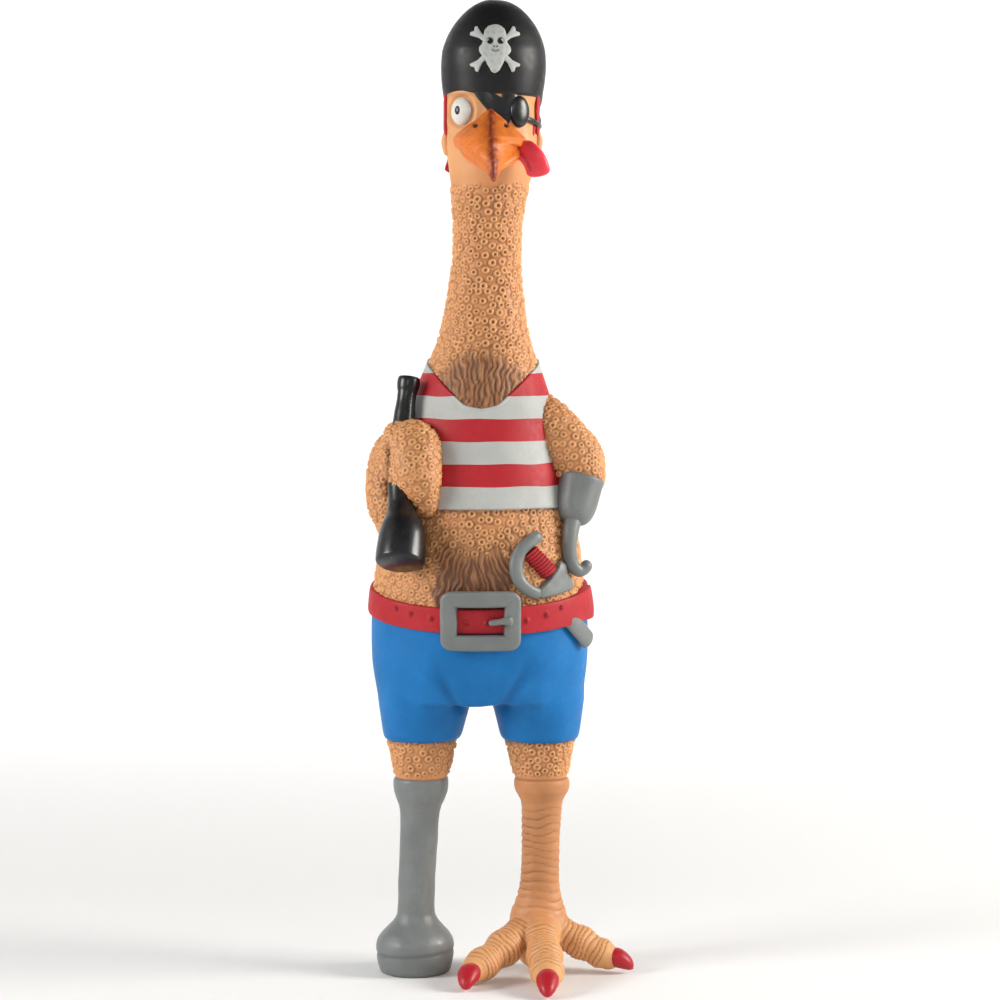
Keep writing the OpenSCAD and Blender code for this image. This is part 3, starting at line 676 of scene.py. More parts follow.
def make_torso():
    z = np.concatenate([np.arange(157, 212, 0.5), np.arange(212, CHEST_Z + 3, 3)])
    shape = grid(BODY.rings(z, circle(560)))
    x, y, height = shape.points.T
    spread = np.arctan2(x + 3.5, 214 - height)
    reach = np.hypot(x + 3.5, 214 - height)
    ragged = 2.4 * ripple(31, 5, x, height * 0.5)
    fan = (
        fade(reach + ragged, 20, 29)
        * fade(17 + 0.1 * (reach - 22) - np.abs(x + 2.5) + ragged, 0, 5) * fade(-y, 10, 18)
    )
    pimple(shape, (1 - fade(fan, 0.35, 0.8)) * fade(211.5 - height, 0, 1.5), 41)
    comb(
        shape, fan, TURN * (spread * 30 + 0.8 * ripple(32, 12, x, height * 0.6)) / 2.2, 51,
        height=0.75
    )
    # painted shade just under the shirt hem; the hair fan also gets darker towards its outer reach
    shape.add_paint(
        wash=fan * 0.3 * fade(reach, 26, 44) + 0.5 * fade(height, HEM_Z - 2.2, HEM_Z - 0.4)
    )
    shape = cut_away(shape, height > belt_middle(np.arctan2(y, x)) - 1.5)
    piece("torso_skin", shape, "skin", "torso", "torso_skin")


def neckline(angle):
    """Height of the shirt's top edge."""
    side = np.degrees(np.abs((angle + math.pi / 2 + math.pi) % TURN - math.pi))
    return smooth(
        [0, 12, 25, 42, 56, 76, 90, 105, 125, 145, 180],
        [252, 253.4, 258.4, 264.2, 267.8, 271, 273, 273.4, 271, 267, 264.5], side,
    )


def make_shirt():
    columns = 560
    angle = np.arange(columns + 1) / columns * TURN - math.pi
    top = neckline(angle)
    parts = {"shirt_white": [], "shirt_red": []}
    for band in range(7):
        wave = [
            0.22 * ripple(60 + b, 30, angle * 36) if b else 0.25 * ripple(59, 40, angle * 36)
            for b in (band, band + 1)
        ]
        low = np.minimum(HEM_Z + band * STRIPE + wave[0], top)
        high = np.minimum(HEM_Z + (band + 1) * STRIPE + wave[1], top) if band < 6 else top
        share = np.linspace(0, 1, 22)[:, None]
        z = low + (high - low) * share
        edge = np.minimum(z - (HEM_Z + wave[0] if band == 0 else HEM_Z), top - z)
        out = 0.1 + 0.85 * np.sqrt(np.clip(1 - (1 - np.clip(edge / 0.7, 0, 1)) ** 2, 0, 1))
        out = out + 0.28 * bell(top - z - 0.9, 0.5)
        shape = grid(
            BODY.at(angle + 0 * z, z, out + 0.06 * ripple(58, 22, angle * 34 + 0 * z, z)),
            wrap=False
        )
        # painted shade along the neckline edge and along the hem, where the shirt meets the skin
        shape.add_paint(wash=(0.8 * bell(top - z, 0.45) + 0.3 * bell(z - HEM_Z, 0.4)).ravel())
        tall = np.tile((high - low) > 0.03, (22, 1)).ravel()
        faces = [f[tall[f].all(axis=1)] for f in shape.faces]
        shape.faces = [f for f in faces if len(f)]
        if shape.faces:
            parts["shirt_red" if band % 2 else "shirt_white"].append(
                cut_away(shape, np.ones(len(shape.points), bool))
            )
    piece("shirt_white", merge(*parts["shirt_white"]), "shirt_white", "torso", "shirt_white")
    piece("shirt_red", merge(*parts["shirt_red"]), "red_paint", "torso", "shirt_red")


def make_trunks():
    rows = np.linspace(123, 172, 60)
    angle = np.arange(160) / 160 * TURN
    upper = tube(BODY, rows, angle)
    legs = []
    for side in (-1, 1):
        leg = Form([
            [104.6, side * LEG_X, 0, 16.6, 17, 17.2],
            [108, side * (LEG_X - 0.3), 0, 17.4, 18, 18.6],
            [116, side * (LEG_X - 0.8), 0, 19, 21.4, 22],
            [126, side * (LEG_X - 1.8), 0, 21, 24.5, 26],
            [140, side * (LEG_X - 3.6), 0, 21.6, 27, 29],
        ])
        z = np.linspace(104.6, 139.5, 50)
        legs.append(tube(leg, z, angle))
    shape = melt([upper, *legs], 0.85, 34)
    x, y, z = shape.points.T
    shape = cut_away(shape, z < belt_middle(np.arctan2(y, x)) + 2)
    x, y, z = shape.points.T
    side = np.abs(x)
    front = fade(-y, -4, 10)
    crease = bell(side - 9 - 0.45 * (z - 119), 2.6) * fade(z, 116, 122) * fade(150 - z, 0, 22)
    folds = ripple(71, 17, x * 1.1, z * 0.45) * fade(140 - z, -10, 18)
    tuck = bell(z - 126 - 0.9 * (side - 12), 3.2) * fade(side, 10, 16) * fade(44 - side, 0, 12)
    shape.push(0.45 + 0.35 * folds * front - 1.0 * crease + 0.55 * tuck * front)
    # painted shade in the crotch creases and at the leg hems; slightly darker on the raised folds
    shape.add_paint(
        wash=0.3 * crease + 0.45 * fade(105.5 - z, 0, 0.9) + 0.1 * fade(folds, 0.2, 1) * front
    )
    piece("trunks", shape, "blue_paint", "torso", "trunks")


BELT_Z, BELT_TILT, BELT_H = 167.6, math.radians(9.5), 10.8


def belt_middle(angle):
    skin = BODY.skin(angle, np.full_like(angle, BELT_Z))
    return BELT_Z + skin[..., 1] * math.tan(BELT_TILT)


def band(angle, middle, half, inner, outer, count=84, closed=False):
    """A strap round the body: half is its half height, inner and outer how far it stands off."""
    dense = np.linspace(0, TURN, 4000)
    box = np.stack(
        [signed_power(np.cos(dense), 0.3) * 5.4, signed_power(np.sin(dense), 0.3) * 1.4], -1
    )
    length = np.concatenate([[0], np.cumsum(np.linalg.norm(np.diff(box, axis=0), axis=1))])
    even = np.interp(np.arange(count) / count * length[-1], length, dense)
    dz = signed_power(np.cos(even), 0.3) * np.asarray(half)[:, None]
    outer = np.broadcast_to(outer, angle.shape)[:, None]
    out = (inner + outer) / 2 + signed_power(np.sin(even), 0.3) * (outer - inner) / 2
    points = BODY.at(angle[:, None] + 0 * dz, middle[:, None] + dz, out)
    return grid(points, wrap_rows=closed, low=not closed, high=not closed)


def punch(shape, holes, out, radius=1.0, depth=0.9):
    for x, z in holes:
        centre = BODY.front(np.array(x), np.array(z), np.array(out))
        near = np.linalg.norm(shape.points - centre, axis=1)
        dent = 1 / (1 + np.exp((near - radius) / 0.16))
        shape.push(-depth * dent)
        # painted shade inside each punched hole
        shape.add_paint(wash=0.55 * dent)
    return shape


def make_belt():
    columns = 620
    angle = circle(columns)[::-1]
    middle = belt_middle(angle) + 1.6 * bell(angle + 0.12, 0.4)
    loop = band(
        angle, middle, np.full(columns, BELT_H / 2), -0.6, 2.2 + 0.08 * ripple(81, 20, angle * 45),
        closed=True
    )
    punch(loop, [(-35, 165.6), (-29, 163.8), (-20.6, 162), (-5.6, 160.6), (2.6, 160.6)], 2.2)
    shade = 0.12 * bell(loop.points[:, 0] - 1, 13) * fade(-loop.points[:, 1], 30, 38)
    loop.add_paint(wash=shade)
    end, start = math.radians(-5), math.radians(-70)
    angle = np.linspace(end, start, 190)
    length = np.linspace(0, (end - start) * 45, 190)
    half = (
        (BELT_H / 2 + 0.5 + 1.3 * fade(-length, -20, 2))
        * np.clip(1 - (1 - np.clip(length / 3, 0.02, 1)) ** 4, 0, 1) ** 0.5
    )
    tail = band(
        angle, belt_middle(angle) + 0.2 - 0.6 * fade(-length, -18, 0), half, 1.6,
        3.7 + 0.07 * ripple(82, 16, length)
    )
    punch(tail, [(18.6, 161.4), (26.6, 163.4), (32.6, 166)], 3.7)
    piece("belt", loop, "red_paint", "torso", "belt")
    piece("belt_tail", tail, "red_paint", "torso")


def relief(form, centre, outline, height, edge=5.0, base=0.0, rings=34, sink=0.8):
    """A raised patch on a form's front, inside a closed outline of (x, z) points."""
    outline, centre = np.asarray(outline, float), np.asarray(centre, float)
    share = np.sin(np.linspace(0, math.pi / 2, rings))[:, None, None]
    flat = centre + (outline - centre) * share
    rise = base + height * np.clip(1 - share[..., 0] ** edge, 0, 1) ** (1 / 2.4) + 0 * flat[..., 0]
    points = form.front(flat[..., 0], flat[..., 1], rise)
    skirt = form.front(outline[:, 0], outline[:, 1], np.full(len(outline), base - sink))
    return grid(np.concatenate([points, skirt[None]])[::-1], high=False)


def lines(*corners, count=240, soften=0):
    """Evenly spaced points round a closed outline, with its corners rounded by averaging."""
    p = np.array(corners + corners[:1], float)
    length = np.concatenate([[0], np.cumsum(np.linalg.norm(np.diff(p, axis=0), axis=1))])
    want = np.arange(count) / count * length[-1]
    out = np.stack([np.interp(want, length, p[:, k]) for k in (0, 1)], -1)
    for _ in range(soften):
        out = (np.roll(out, 1, 0) + 2 * out + np.roll(out, -1, 0)) / 4
    return out


def bar(form, path, half, base, rise, count=40, power=2.6, closed=False):
    """A rounded bar on a form's front, along a path of (x, z) points."""
    path = np.asarray(path, float)
    if closed:
        along = np.roll(path, -1, 0) - np.roll(path, 1, 0)
    else:
        along = np.gradient(path, axis=0)
    along /= np.linalg.norm(along, axis=1, keepdims=True)
    across = np.stack([-along[:, 1], along[:, 0]], -1)
    half, rise = np.broadcast_to(half, len(path)), np.broadcast_to(rise, len(path))
    t = np.arange(count) / count * TURN
    c, s = signed_power(np.cos(t), 2 / power), signed_power(np.sin(t), 2 / power)
    flat = path[:, None] + across[:, None] * (half[:, None] * c)[..., None]
    points = form.front(flat[..., 0], flat[..., 1], base + rise[:, None] * s)
    return grid(points, wrap_rows=closed, low=not closed, high=not closed)


def make_buckle():
    low, high = (np.array(corner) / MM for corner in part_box("buckle_frame"))
    centre = ((low + high) / 2)[[0, 2]] - (MIDDLE / MM)[[0, 2]]
    width, height = (high - low)[0] - 6.2, (high - low)[2] - 6.2
    w, h = width / 2, height / 2
    path = lines((-w, -h), (w, -h), (w, h), (-w, h), count=420, soften=44) + centre
    frame_bar = bar(BODY, path, 3.3, 3.0, 2.6, closed=True, power=4)
    frame_bar.push(0.05 * ripple(91, 9, *frame_bar.points.T))
    piece("buckle_frame", frame_bar, "grey_paint", "torso", "buckle_frame")
    line = route([(3.2, -0.7), (6, -0.2), (9.6, 0.3), (12.8, 0.4)], 50) + centre
    share = np.linspace(0, 1, 50)
    size = rounded_ends(50, 10, 1.6, 2.2)
    prong = bar(
        BODY, line, (1.25 + 1.15 * fade(share, 0.45, 0.9)) * size, 4.4 + 1.2 * share[:, None],
        1.9 * size
    )
    piece("buckle_prong", prong, "grey_paint", "torso", "buckle_prong")


def wing_detail(shape, seed, allowed=1.0):
    x, y, z = shape.points.T
    shape.push(0.25 * ripple(seed, 15, x, y, z))
    return pimple(shape, allowed * np.ones(len(x)), seed, height=0.8)


def make_wings():
    arm = ball_chain([
        (-25, 3, 242, 8), (-31, 0, 235, 10.5), (-36.4, -4, 228.6, 12.2), (-38, -7, 218, 12.2),
        (-38, -9, 208, 11),
        (-36.8, -10, 201.4, 9),
    ])
    hand = ball_chain([
        (-33.5, -16, 236.5, 9.6), (-28.6, -26, 235, 11), (-27.6, -30, 226, 10.8),
        (-25.4, -31.5, 217, 8.6), (-23.4, -31.6, 211.5, 5.6),
    ])
    palm = ball_chain([
        (-35, -20, 239, 7.4), (-35.6, -25.5, 231, 7.8), (-35, -28.5, 223.4, 6.6),
        (-32.6, -30.5, 217.5, 4.4),
    ])
    shape = melt([arm, hand, palm], 0.62, 7)
    x, y, z = shape.points.T
    fold = (
        bell(x + 40.4 - 0.03 * (z - 225), 1.0) * fade(z, 210, 216) * fade(240 - z, 0, 6)
        * fade(-y, 8, 14)
    )
    shape.push(-1.3 * fold)
    # painted shade in the fold between arm and hand
    shape.add_paint(wash=0.6 * fold)
    piece("right_wing", wing_detail(shape, 101), "skin", "torso", "right_wing")

    arm = ball_chain([
        (23, 1, 252, 8.8), (28.6, -4.4, 244.4, 12), (34.8, -6.4, 236.4, 13), (41, -7.4, 228, 13.2),
        (43.2, -10, 221.6, 11.4), (43.2, -12, 217, 9),
    ])
    shape = melt([arm], 0.62, 7)
    piece("left_wing", wing_detail(shape, 111), "skin", "torso", "left_wing")


def revolve(base, axis_end, outline, count=110, rows=260):
    """A turned shape: outline is [radius, distance along the axis], from the base up."""
    base, top = np.asarray(base, float), np.asarray(axis_end, float)
    axis = (top - base) / np.linalg.norm(top - base)
    side = np.cross(axis, (0, 1, 0.2))
    side /= np.linalg.norm(side)
    other = np.cross(axis, side)
    line = route(outline, rows)
    t = np.arange(count) / count * TURN
    ring = np.cos(t)[:, None] * side + np.sin(t)[:, None] * other
    points = (
        base + axis * line[:, 1, None, None] + ring * np.maximum(line[:, 0], 0.01)[:, None, None]
    )
    return grid(points, low=True, high=True)


def make_bottle():
    count = 320
    path = route([
        (-34.4, -45.6, 186), (-33.6, -39.5, 198), (-34.2, -32.6, 212), (-34.8, -25, 228),
        (-33.4, -17.5, 247), (-31.2, -12.4, 265),
    ], count)
    length = np.linspace(0, np.linalg.norm(np.diff(path, axis=0), axis=1).sum(), count)
    radius = smooth(
        [0, 0.5, 1.6, 5, 12, 18, 24, 29, 36, 48, 60, 70, 76, 79, 82, 84.5, 86, 87],
        [9.2, 10.1, 10.6, 10.7, 10.3, 9, 6.6, 5.8, 5.6, 5.6, 5.2, 4.6, 4.1, 4.2, 4.9, 5.1, 4.8,
         4.1],
        length,
    )
    shape = sweep(path, radius, radius, (1, 0.1, 0), count=120)
    shape.push(0.14 * ripple(121, 24, *shape.points.T))
    piece("bottle", shape, "black_gloss", "torso", "bottle")


def make_hook():
    cuff = revolve((39.6, -18.2, 201.4), (44.2, -13.2, 221.6), [
        (0, 0), (3.8, 0.2), (6.4, 1.6), (8.2, 4.2), (9.1, 7.6), (9.5, 12), (9.7, 17), (10, 20),
        (9.8, 21), (9, 21.3), (0, 21.3),
    ])
    cuff.push(0.12 * ripple(131, 14, *cuff.points.T))
    piece("hook_cuff", cuff, "grey_paint", "torso", "hook_cuff")
    path = route([
        (40.6, -19, 206), (39.2, -22, 199), (38.4, -23.4, 191.5), (39.4, -23.2, 185.4),
        (42.2, -22, 181.6), (45.2, -20.6, 182), (46.8, -19.6, 185.6),
    ], 150)
    size = np.linspace(4, 2.5, 150) * rounded_ends(150, 34, 0, 2.8)
    hook = sweep(path, size, size, (0.2, 1, 0))
    hook.push(0.1 * ripple(132, 9, *hook.points.T))
    piece("hook", hook, "grey_paint", "torso", "hook")


def make_cutlass():
    path = route([
        (25.4, 197.6), (21.4, 195.2), (17, 191), (14.9, 185), (16, 179), (19.6, 174.6),
        (25.4, 171.6),
    ], 140)
    size = rounded_ends(140, 34, 2.4, 2)
    guard = bar(BODY, path, 2.75 * size, 1.1, 2.5 * size, power=2.3)
    guard.push(0.08 * ripple(141, 9, *guard.points.T))
    piece("cutlass_guard", guard, "grey_paint", "torso", "cutlass_guard")
    line = route([(20.6, 190.4), (24.8, 185.8), (29, 181)], 150)
    rib = 0.5 + 0.5 * np.sin(np.linspace(0, 9 * TURN, 150))
    grip = bar(BODY, line, 3.3 + 0.3 * rib, 0.8, 2.8 + 0.45 * rib, power=2.4)
    # painted shade in the grooves between the grip's ribs
    grip.add_paint(wash=np.concatenate([np.repeat(0.75 * (1 - rib) ** 2, 40), [0, 0]]))
    piece("cutlass_grip", grip, "red_paint", "torso", "cutlass_grip")
    outline = lines(
        (33, 186.2), (35.4, 184.8), (35.8, 180.6), (38.8, 176.2), (38.6, 173), (32, 171.4),
        (25, 170), (22.4, 171.8), (23.6, 174.2), (27.6, 177.8), (30.8, 182.2), soften=20,
    )
    cross = relief(BODY, (30, 176), outline, 2.6, base=1.0, edge=7)
    cross.push(0.08 * ripple(142, 8, *cross.points.T))
    piece("cutlass_crossguard", cross, "grey_paint", "torso", "cutlass_crossguard")
    angle, z = np.radians([-41, -36, -28, -19]), np.array([164.6, 160.2, 154.4, 149])
    points = BODY.at(angle, z, np.array([1.2, 1.9, 2.8, 3.8]))
    blade = sweep(
        route(points, 90), 4.2 * rounded_ends(90, 30, 0, 3.6), 1.9 * rounded_ends(90, 30, 0, 3),
        np.cross(
            np.gradient(route(points, 90), axis=0), BODY.normal(np.array(-0.65), np.array(158.0))
        ),
    )
    piece("cutlass_blade", blade, "grey_paint", "torso", "cutlass_blade")


# ---------------------------------------------------------------- head

EYE = (-8.2, 380.6)


def make_head():
    points, _ = skin_grid(FACE_Z - SEAM_STEP, 400)
    shape = grid(points)
    x, y, height = shape.points.T
    around = np.hypot((x - EYE[0]) / 1.0, (height - EYE[1]) / 1.25)
    facing = fade(-y, 2, 8)
    socket = bell(around - 6.6, 1.5) * facing
    lid = bell(around - 5.3, 0.6) * facing
    cheek = (
        np.exp(-(((np.abs(x - 3.2) - 17.5) / 4.5) ** 2) - ((height - 366.5) / 4.5) ** 2) * facing
    )
    brow = bell(height - 389 + 0.05 * x, 2.4) * facing
    calm = fade(height, FACE_Z + SEAM_STEP, FACE_Z + 6)
    shape.push(
        calm
        * (
            0.55 * socket - 0.3 * lid + 0.9 * cheek + 0.5 * brow
            + 0.12 * ripple(151, 12, x, y, height)
        )
    )
    # darker in the ring round the eye, and painted shadow under the hat's brim
    shape.add_paint(wash=0.4 * lid * calm + 0.35 * bell(height - 388, 1.2) * facing)
    kept = np.arange(points.shape[1], len(shape.points))
    normals = shape.normals()[kept]
    piece(
        "head_skin", rows_of(shape, kept, points.shape[1]), "face", "head", "head_skin",
        edge_normals=normals
    )


HAT = Form([
    [379, 5.4, 2.5, 20.8, 21.6, 25.4], [384, 5.4, 2, 21.3, 21.6, 26],
    [389, 5.4, 1.2, 21.9, 21.9, 26.4],
    [395, 5.5, 0.8, 22.6, 22.2, 26.8], [401, 5.6, 0.3, 22.9, 22.4, 26.8],
    [407, 5.6, 0, 22.6, 21.8, 26],
    [412.5, 5.7, 0, 21.2, 20, 24.2], [418, 5.8, 0, 18.6, 17.4, 21], [422.6, 5.8, 0, 15.2, 14, 17],
    [426.4, 5.8, 0, 11.2, 10.4, 12.6], [429, 5.8, 0, 6.4, 6, 7], [429.6, 5.8, 0, 4.1, 3.9, 4.5],
    [429.9, 5.8, 0, 2.1, 2, 2.3], [430, 5.8, 0, 0.4, 0.4, 0.4],
])


def brim(angle):
    """Height of the hat's lower edge: level in front, lower behind."""
    return 387.4 - 7.5 * fade(np.sin(angle), -0.35, 0.75) - 0.6 * np.cos(angle)


def make_hat():
    angle = circle(260)
    share = np.concatenate(
        [np.linspace(0, 0.12, 26), 1 - 0.87 * (1 - np.linspace(0, 1, 130)) ** 1.8]
    )[:, None]
    low = brim(angle)
    z = low + (429.98 - low) * share
    roll = np.sqrt(np.clip(1 - (1 - np.clip((z - low) / 1.5, 0, 1)) ** 2, 0, 1))
    out = -2.0 + 2.0 * roll + 0.22 * ripple(161, 26, np.cos(angle) * 22, np.sin(angle) * 22, z)
    shape = grid(HAT.at(angle + 0 * z, z, out), high=True)
    shape.add_paint(lift=np.append(0.7 * bell(z - low - 0.5, 0.4), 0))
    piece("hat", shape, "hat_black", "head", "hat")
    knots = []
    for balls in (
        [(20.5, 16.5, 384, 3.4), (23.4, 15.5, 379, 3.2), (24.4, 14, 374.6, 1.9)],
    ):
        knots.append(ball_chain(balls))
    piece("hat_corner", melt(knots, 0.5, 6), "hat_black", "head")


def make_badge():
    centre = np.array([6.2, 407.4])
    skull = np.array([
        (0, 10.2), (2.6, 9.6), (4.4, 7.6), (5.0, 4.6), (5.2, 2), (6.6, 0.4), (6.9, -1.6),
        (5.4, -3.4), (4.4, -4.8), (3.0, -7.6),
        (1.5, -10.2), (0, -11),
    ])
    outline = np.vstack([skull, skull[1:-1][::-1] * (-1, 1)])[::-1]
    outline = lines(*map(tuple, outline + centre), soften=14)
    shape = relief(HAT, centre, outline, 1.1, base=0.35, edge=6)
    x, z = shape.points[:, 0] - centre[0], shape.points[:, 2] - centre[1]
    eyes = sum(
        1 / (1 + np.exp((np.hypot(x - 0.2 - s * 2.3, z - 3.1) - 1.5) / 0.1)) for s in (-1, 1)
    )
    nose = sum(
        1 / (1 + np.exp((np.hypot(x - 0.3 - s * 0.6, z - 0.5) - 0.4) / 0.1)) for s in (-1, 1)
    )
    smile = bell(z + 1.5 - 0.22 * (x - 0.3) ** 2, 0.42) * fade(1.9 - np.abs(x - 0.3), 0, 0.5)
    shape.push(
        -0.5 * eyes - 0.25 * nose - 0.3 * smile + 0.1 * ripple(152, 3.4, x * 1.3, z) * (1 - eyes)
    )
    shape.add_paint(
        ink=np.clip(eyes + nose + 0.8 * smile, 0, 1),
        wash=0.2 * fade(ripple(153, 2.6, x, z), 0, 0.9)
    )
    piece("skull_badge", shape, "badge_white", "head", "skull_badge")
    bones = []
    for side in (-1, 1):
        for rise in (-1, 1):
            root = np.array([side * 3.0, rise * 2.6])
            end = np.array([side * 7.4, rise * 6.6 - 0.4])
            along = (end - root) / np.linalg.norm(end - root)
            across = np.array([-along[1], along[0]])
            line = route([root + centre, (root + end) / 2 + centre, end + centre], 30)
            bones.append(bar(HAT, line, 1.15, 0.35, 0.75))
            flare = [
                (-2.2, -0.9), (0.2, -1.7), (2.2, -2.5), (2.7, -1.5), (1.8, 0), (2.7, 1.5),
                (2.2, 2.5), (0.2, 1.7), (-2.2, 0.9)
            ]
            knob = end + centre
            outline = lines(*(tuple(knob + a * along + c * across) for a, c in flare), soften=6)
            bones.append(relief(HAT, knob, outline, 0.85, base=0.35, edge=3, rings=16))
    piece("crossbones", merge(*bones), "badge_white", "head", "crossbones")


def make_eye():
    angle = BODY.facing(np.array(EYE[0]), np.array(EYE[1]))
    normal = BODY.normal(angle, np.array(EYE[1]))
    centre = BODY.at(angle, np.array(EYE[1]), np.array(-0.2))
    side = np.cross((0, 0, 1), normal)
    side /= np.linalg.norm(side)
    up = np.cross(normal, side)
    u = np.arange(90) / 90 * TURN
    v = np.linspace(0.001, math.pi / 2 * 1.25, 60)[:, None]
    local = np.stack(
        [5.3 * np.sin(v) * np.cos(u), 6.1 * np.sin(v) * np.sin(u), 3.7 * np.cos(v) + 0 * u], -1
    )
    points = centre + local[..., :1] * side + local[..., 1:2] * up + local[..., 2:] * normal
    ball = grid(points[::-1])
    rim = np.abs(local[::-1][..., 2].ravel())
    ball.add_paint(wash=0.35 * fade(1.2 - rim, 0, 1.2))
    piece("right_eyeball", ball, "eye_white", "head", "right_eyeball")
    look = np.array([0.35, 0.3])
    r = np.linspace(0.001, 1, 24)[:, None]
    dx, dz = look[0] + 1.4 * r * np.cos(u), look[1] + 1.95 * r * np.sin(u)
    lift = (
        3.7 * np.sqrt(np.clip(1 - (dx / 5.3) ** 2 - (dz / 6.1) ** 2, 0, 1))
        + 0.34 * np.sqrt(1 - r**2) - 0.04
    )
    points = centre + dx[..., None] * side + dz[..., None] * up + lift[..., None] * normal
    piece("right_pupil", grid(points[::-1]), "black_gloss", "head", "right_pupil")


def make_patch():
    centre = np.array([16.5, 380.4])
    ring = np.arange(140) / 140 * TURN
    outline = centre + np.stack([3.9 * np.cos(ring), 6.9 * np.sin(ring)], -1)
    patch = relief(BODY, centre, outline, 2.3, base=0.35, edge=2.6)
    piece("eye_patch", patch, "black_gloss", "head", "eye_patch")
    straps = []
    for path, half in (
        (
            [(-2.2, 391.5), (0.6, 388.4), (4.8, 384.4), (9.6, 380.9), (13.8, 378.8)],
            np.linspace(2.3, 5.4, 60)
        ),
        ([(12.4, 391.5), (12.3, 387), (13.4, 381)], np.linspace(2.3, 5, 60)),
    ):
        straps.append(bar(BODY, route(path, 60), half, 0.25, 0.75, power=3))
    angle = np.radians(np.linspace(-50, 60, 90))
    z = 377.6 - 2.4 * fade(np.degrees(angle), -50, -8) + 1.4 * fade(np.degrees(angle), 0, 60)
    t = np.arange(32) / 32 * TURN
    points = BODY.at(
        angle[:, None] + 0 * t, z[:, None] + 1.15 * signed_power(np.cos(t), 0.6),
        0.9 + 1.0 * signed_power(np.sin(t), 0.6)
    )
    straps.append(grid(points[::-1], low=True, high=True))
    piece("eye_patch_strap", merge(*straps), "black_gloss", "head", "eye_patch_strap")


UPPER_BEAK = Form([
    [349.6, 5.8, -39.8, 0.5, 0.6, 0.5], [350.6, 5.7, -39.4, 1.5, 1.9, 1.2],
    [352.5, 5.5, -38.2, 2.7, 3.6, 1.8], [355, 5.2, -35.8, 4.3, 5.8, 2.2],
    [358, 4.4, -31.4, 6.6, 9.4, 2.4], [361, 3.4, -25.4, 9.6, 14.2, 2.6],
    [363.6, 3.1, -20, 12.4, 18, 2.6],
    [366, 3.7, -15.6, 15.2, 21, 3], [368.4, 3.7, -13, 15.9, 21.6, 3.4],
    [371, 3.7, -12, 14.3, 19.8, 3],
    [374, 3.9, -12.4, 11.2, 16, 3], [377, 4.3, -13.6, 8, 11.4, 3], [379.4, 4.5, -15.4, 5, 6.8, 3],
    [381, 4.6, -17, 2.2, 3.2, 2],
    [381.8, 4.6, -18, 0.4, 0.6, 0.5],
], power=1.55)


def make_beak():
    z = np.concatenate([np.linspace(349.62, 352, 14), np.linspace(352.4, 381.75, 92)])
    shape = tube(UPPER_BEAK, z, circle(240))
    x, y, height = shape.points.T
    ridge_x = 4.6 + 1.2 * fade(372 - height, 0, 20)
    ridge = bell(x - ridge_x, 1.25) * fade(-y, 16, 22)
    nostril = sum(
        np.exp(-((((x - nx) / 1.05) ** 2 + ((height - nz) / 1.2) ** 2) ** 3))
        for nx, nz in ((-2.3, 374.2), (11.2, 374.4))
    )
    nostril = nostril * fade(-y, 17, 19)
    gape = bell(height - 364.6 + 0.35 * (x - 16), 0.55) * fade(x, 11.5, 13.5) * fade(-y, 12, 14)
    streaks = ripple(
        174, 2.6, x - ridge_x + 0.9 * (height - 366) * np.sign(x - ridge_x), height * 0.4
    )
    shape.push(
        0.45 * ridge - 1.0 * nostril - 0.5 * gape + 0.12 * ripple(171, 8, x, y, height)
        + 0.07 * streaks
    )
    # brown along the ridge, mottles and streaks are the beak's own paint; the darkening in the gape
    # is painted shade
    shape.add_paint(
        wash=0.95 * bell(x - ridge_x, 1.7) * fade(-y, 16, 22)
        * (0.72 + 0.4 * ripple(172, 2.4, x, height))
        + 0.3 * fade(ripple(175, 1.5, x, y, height), 0.45, 0.9) + 0.6 * gape
        + 0.14 * fade(ripple(173, 8, x, y, height), 0, 1)
        + 0.12 * fade(streaks, 0.1, 1) + 0.3 * bell(x - ridge_x, 3.4) * fade(-y, 16, 22),
        ink=nostril,
    )
    piece("upper_beak", shape, "beak_orange", "head", "upper_beak")
    lower = Form([
        [353.6, 5.4, -29.4, 2, 2.4, 2.4], [355, 5.4, -27.6, 4.4, 4.4, 4],
        [358, 5.2, -23, 9.2, 7.6, 6], [361.2, 5.2, -18, 12.8, 9.4, 6],
        [364.4, 5.2, -14.6, 14.2, 9, 5], [367, 5.2, -13, 13.4, 7, 4],
    ], power=1.9)
    z = np.linspace(353.7, 366.9, 50)
    piece("lower_beak", tube(lower, z, circle(140)), "beak_orange", "head", "lower_beak")


def make_tongue():
    count = 130
    path = route([
        (15, -14.5, 364.6), (19, -18.8, 363.6), (22.4, -21, 360.4), (24.4, -21, 356.4),
        (25.4, -19.6, 352.2),
    ], count)
    share = np.linspace(0, 1, count)
    size = rounded_ends(count, 19, 3, 2.4)
    wide = (4.9 + 0.3 * fade(share, 0.2, 0.75)) * size
    shape = sweep(path, wide, 2.5 * size, (1, -0.25, 0.3), count=90, power=3)
    t = np.tile(np.arange(90) / 90 * TURN, count)
    t = np.concatenate([t, [0, 0]])
    along = np.concatenate([np.repeat(share, 90), [0, 1]])
    across = np.cos(t)
    groove = (
        bell(across + 0.35, 0.2) * fade(along, 0.12, 0.3) * fade(0.88 - along, 0, 0.2)
        * (shape.normals()[:, 1] < 0)
    )
    shape.push(-0.75 * groove)
    # painted shade in the groove
    shape.add_paint(wash=0.55 * groove)
    piece("tongue", shape, "tongue_red", "head", "tongue")


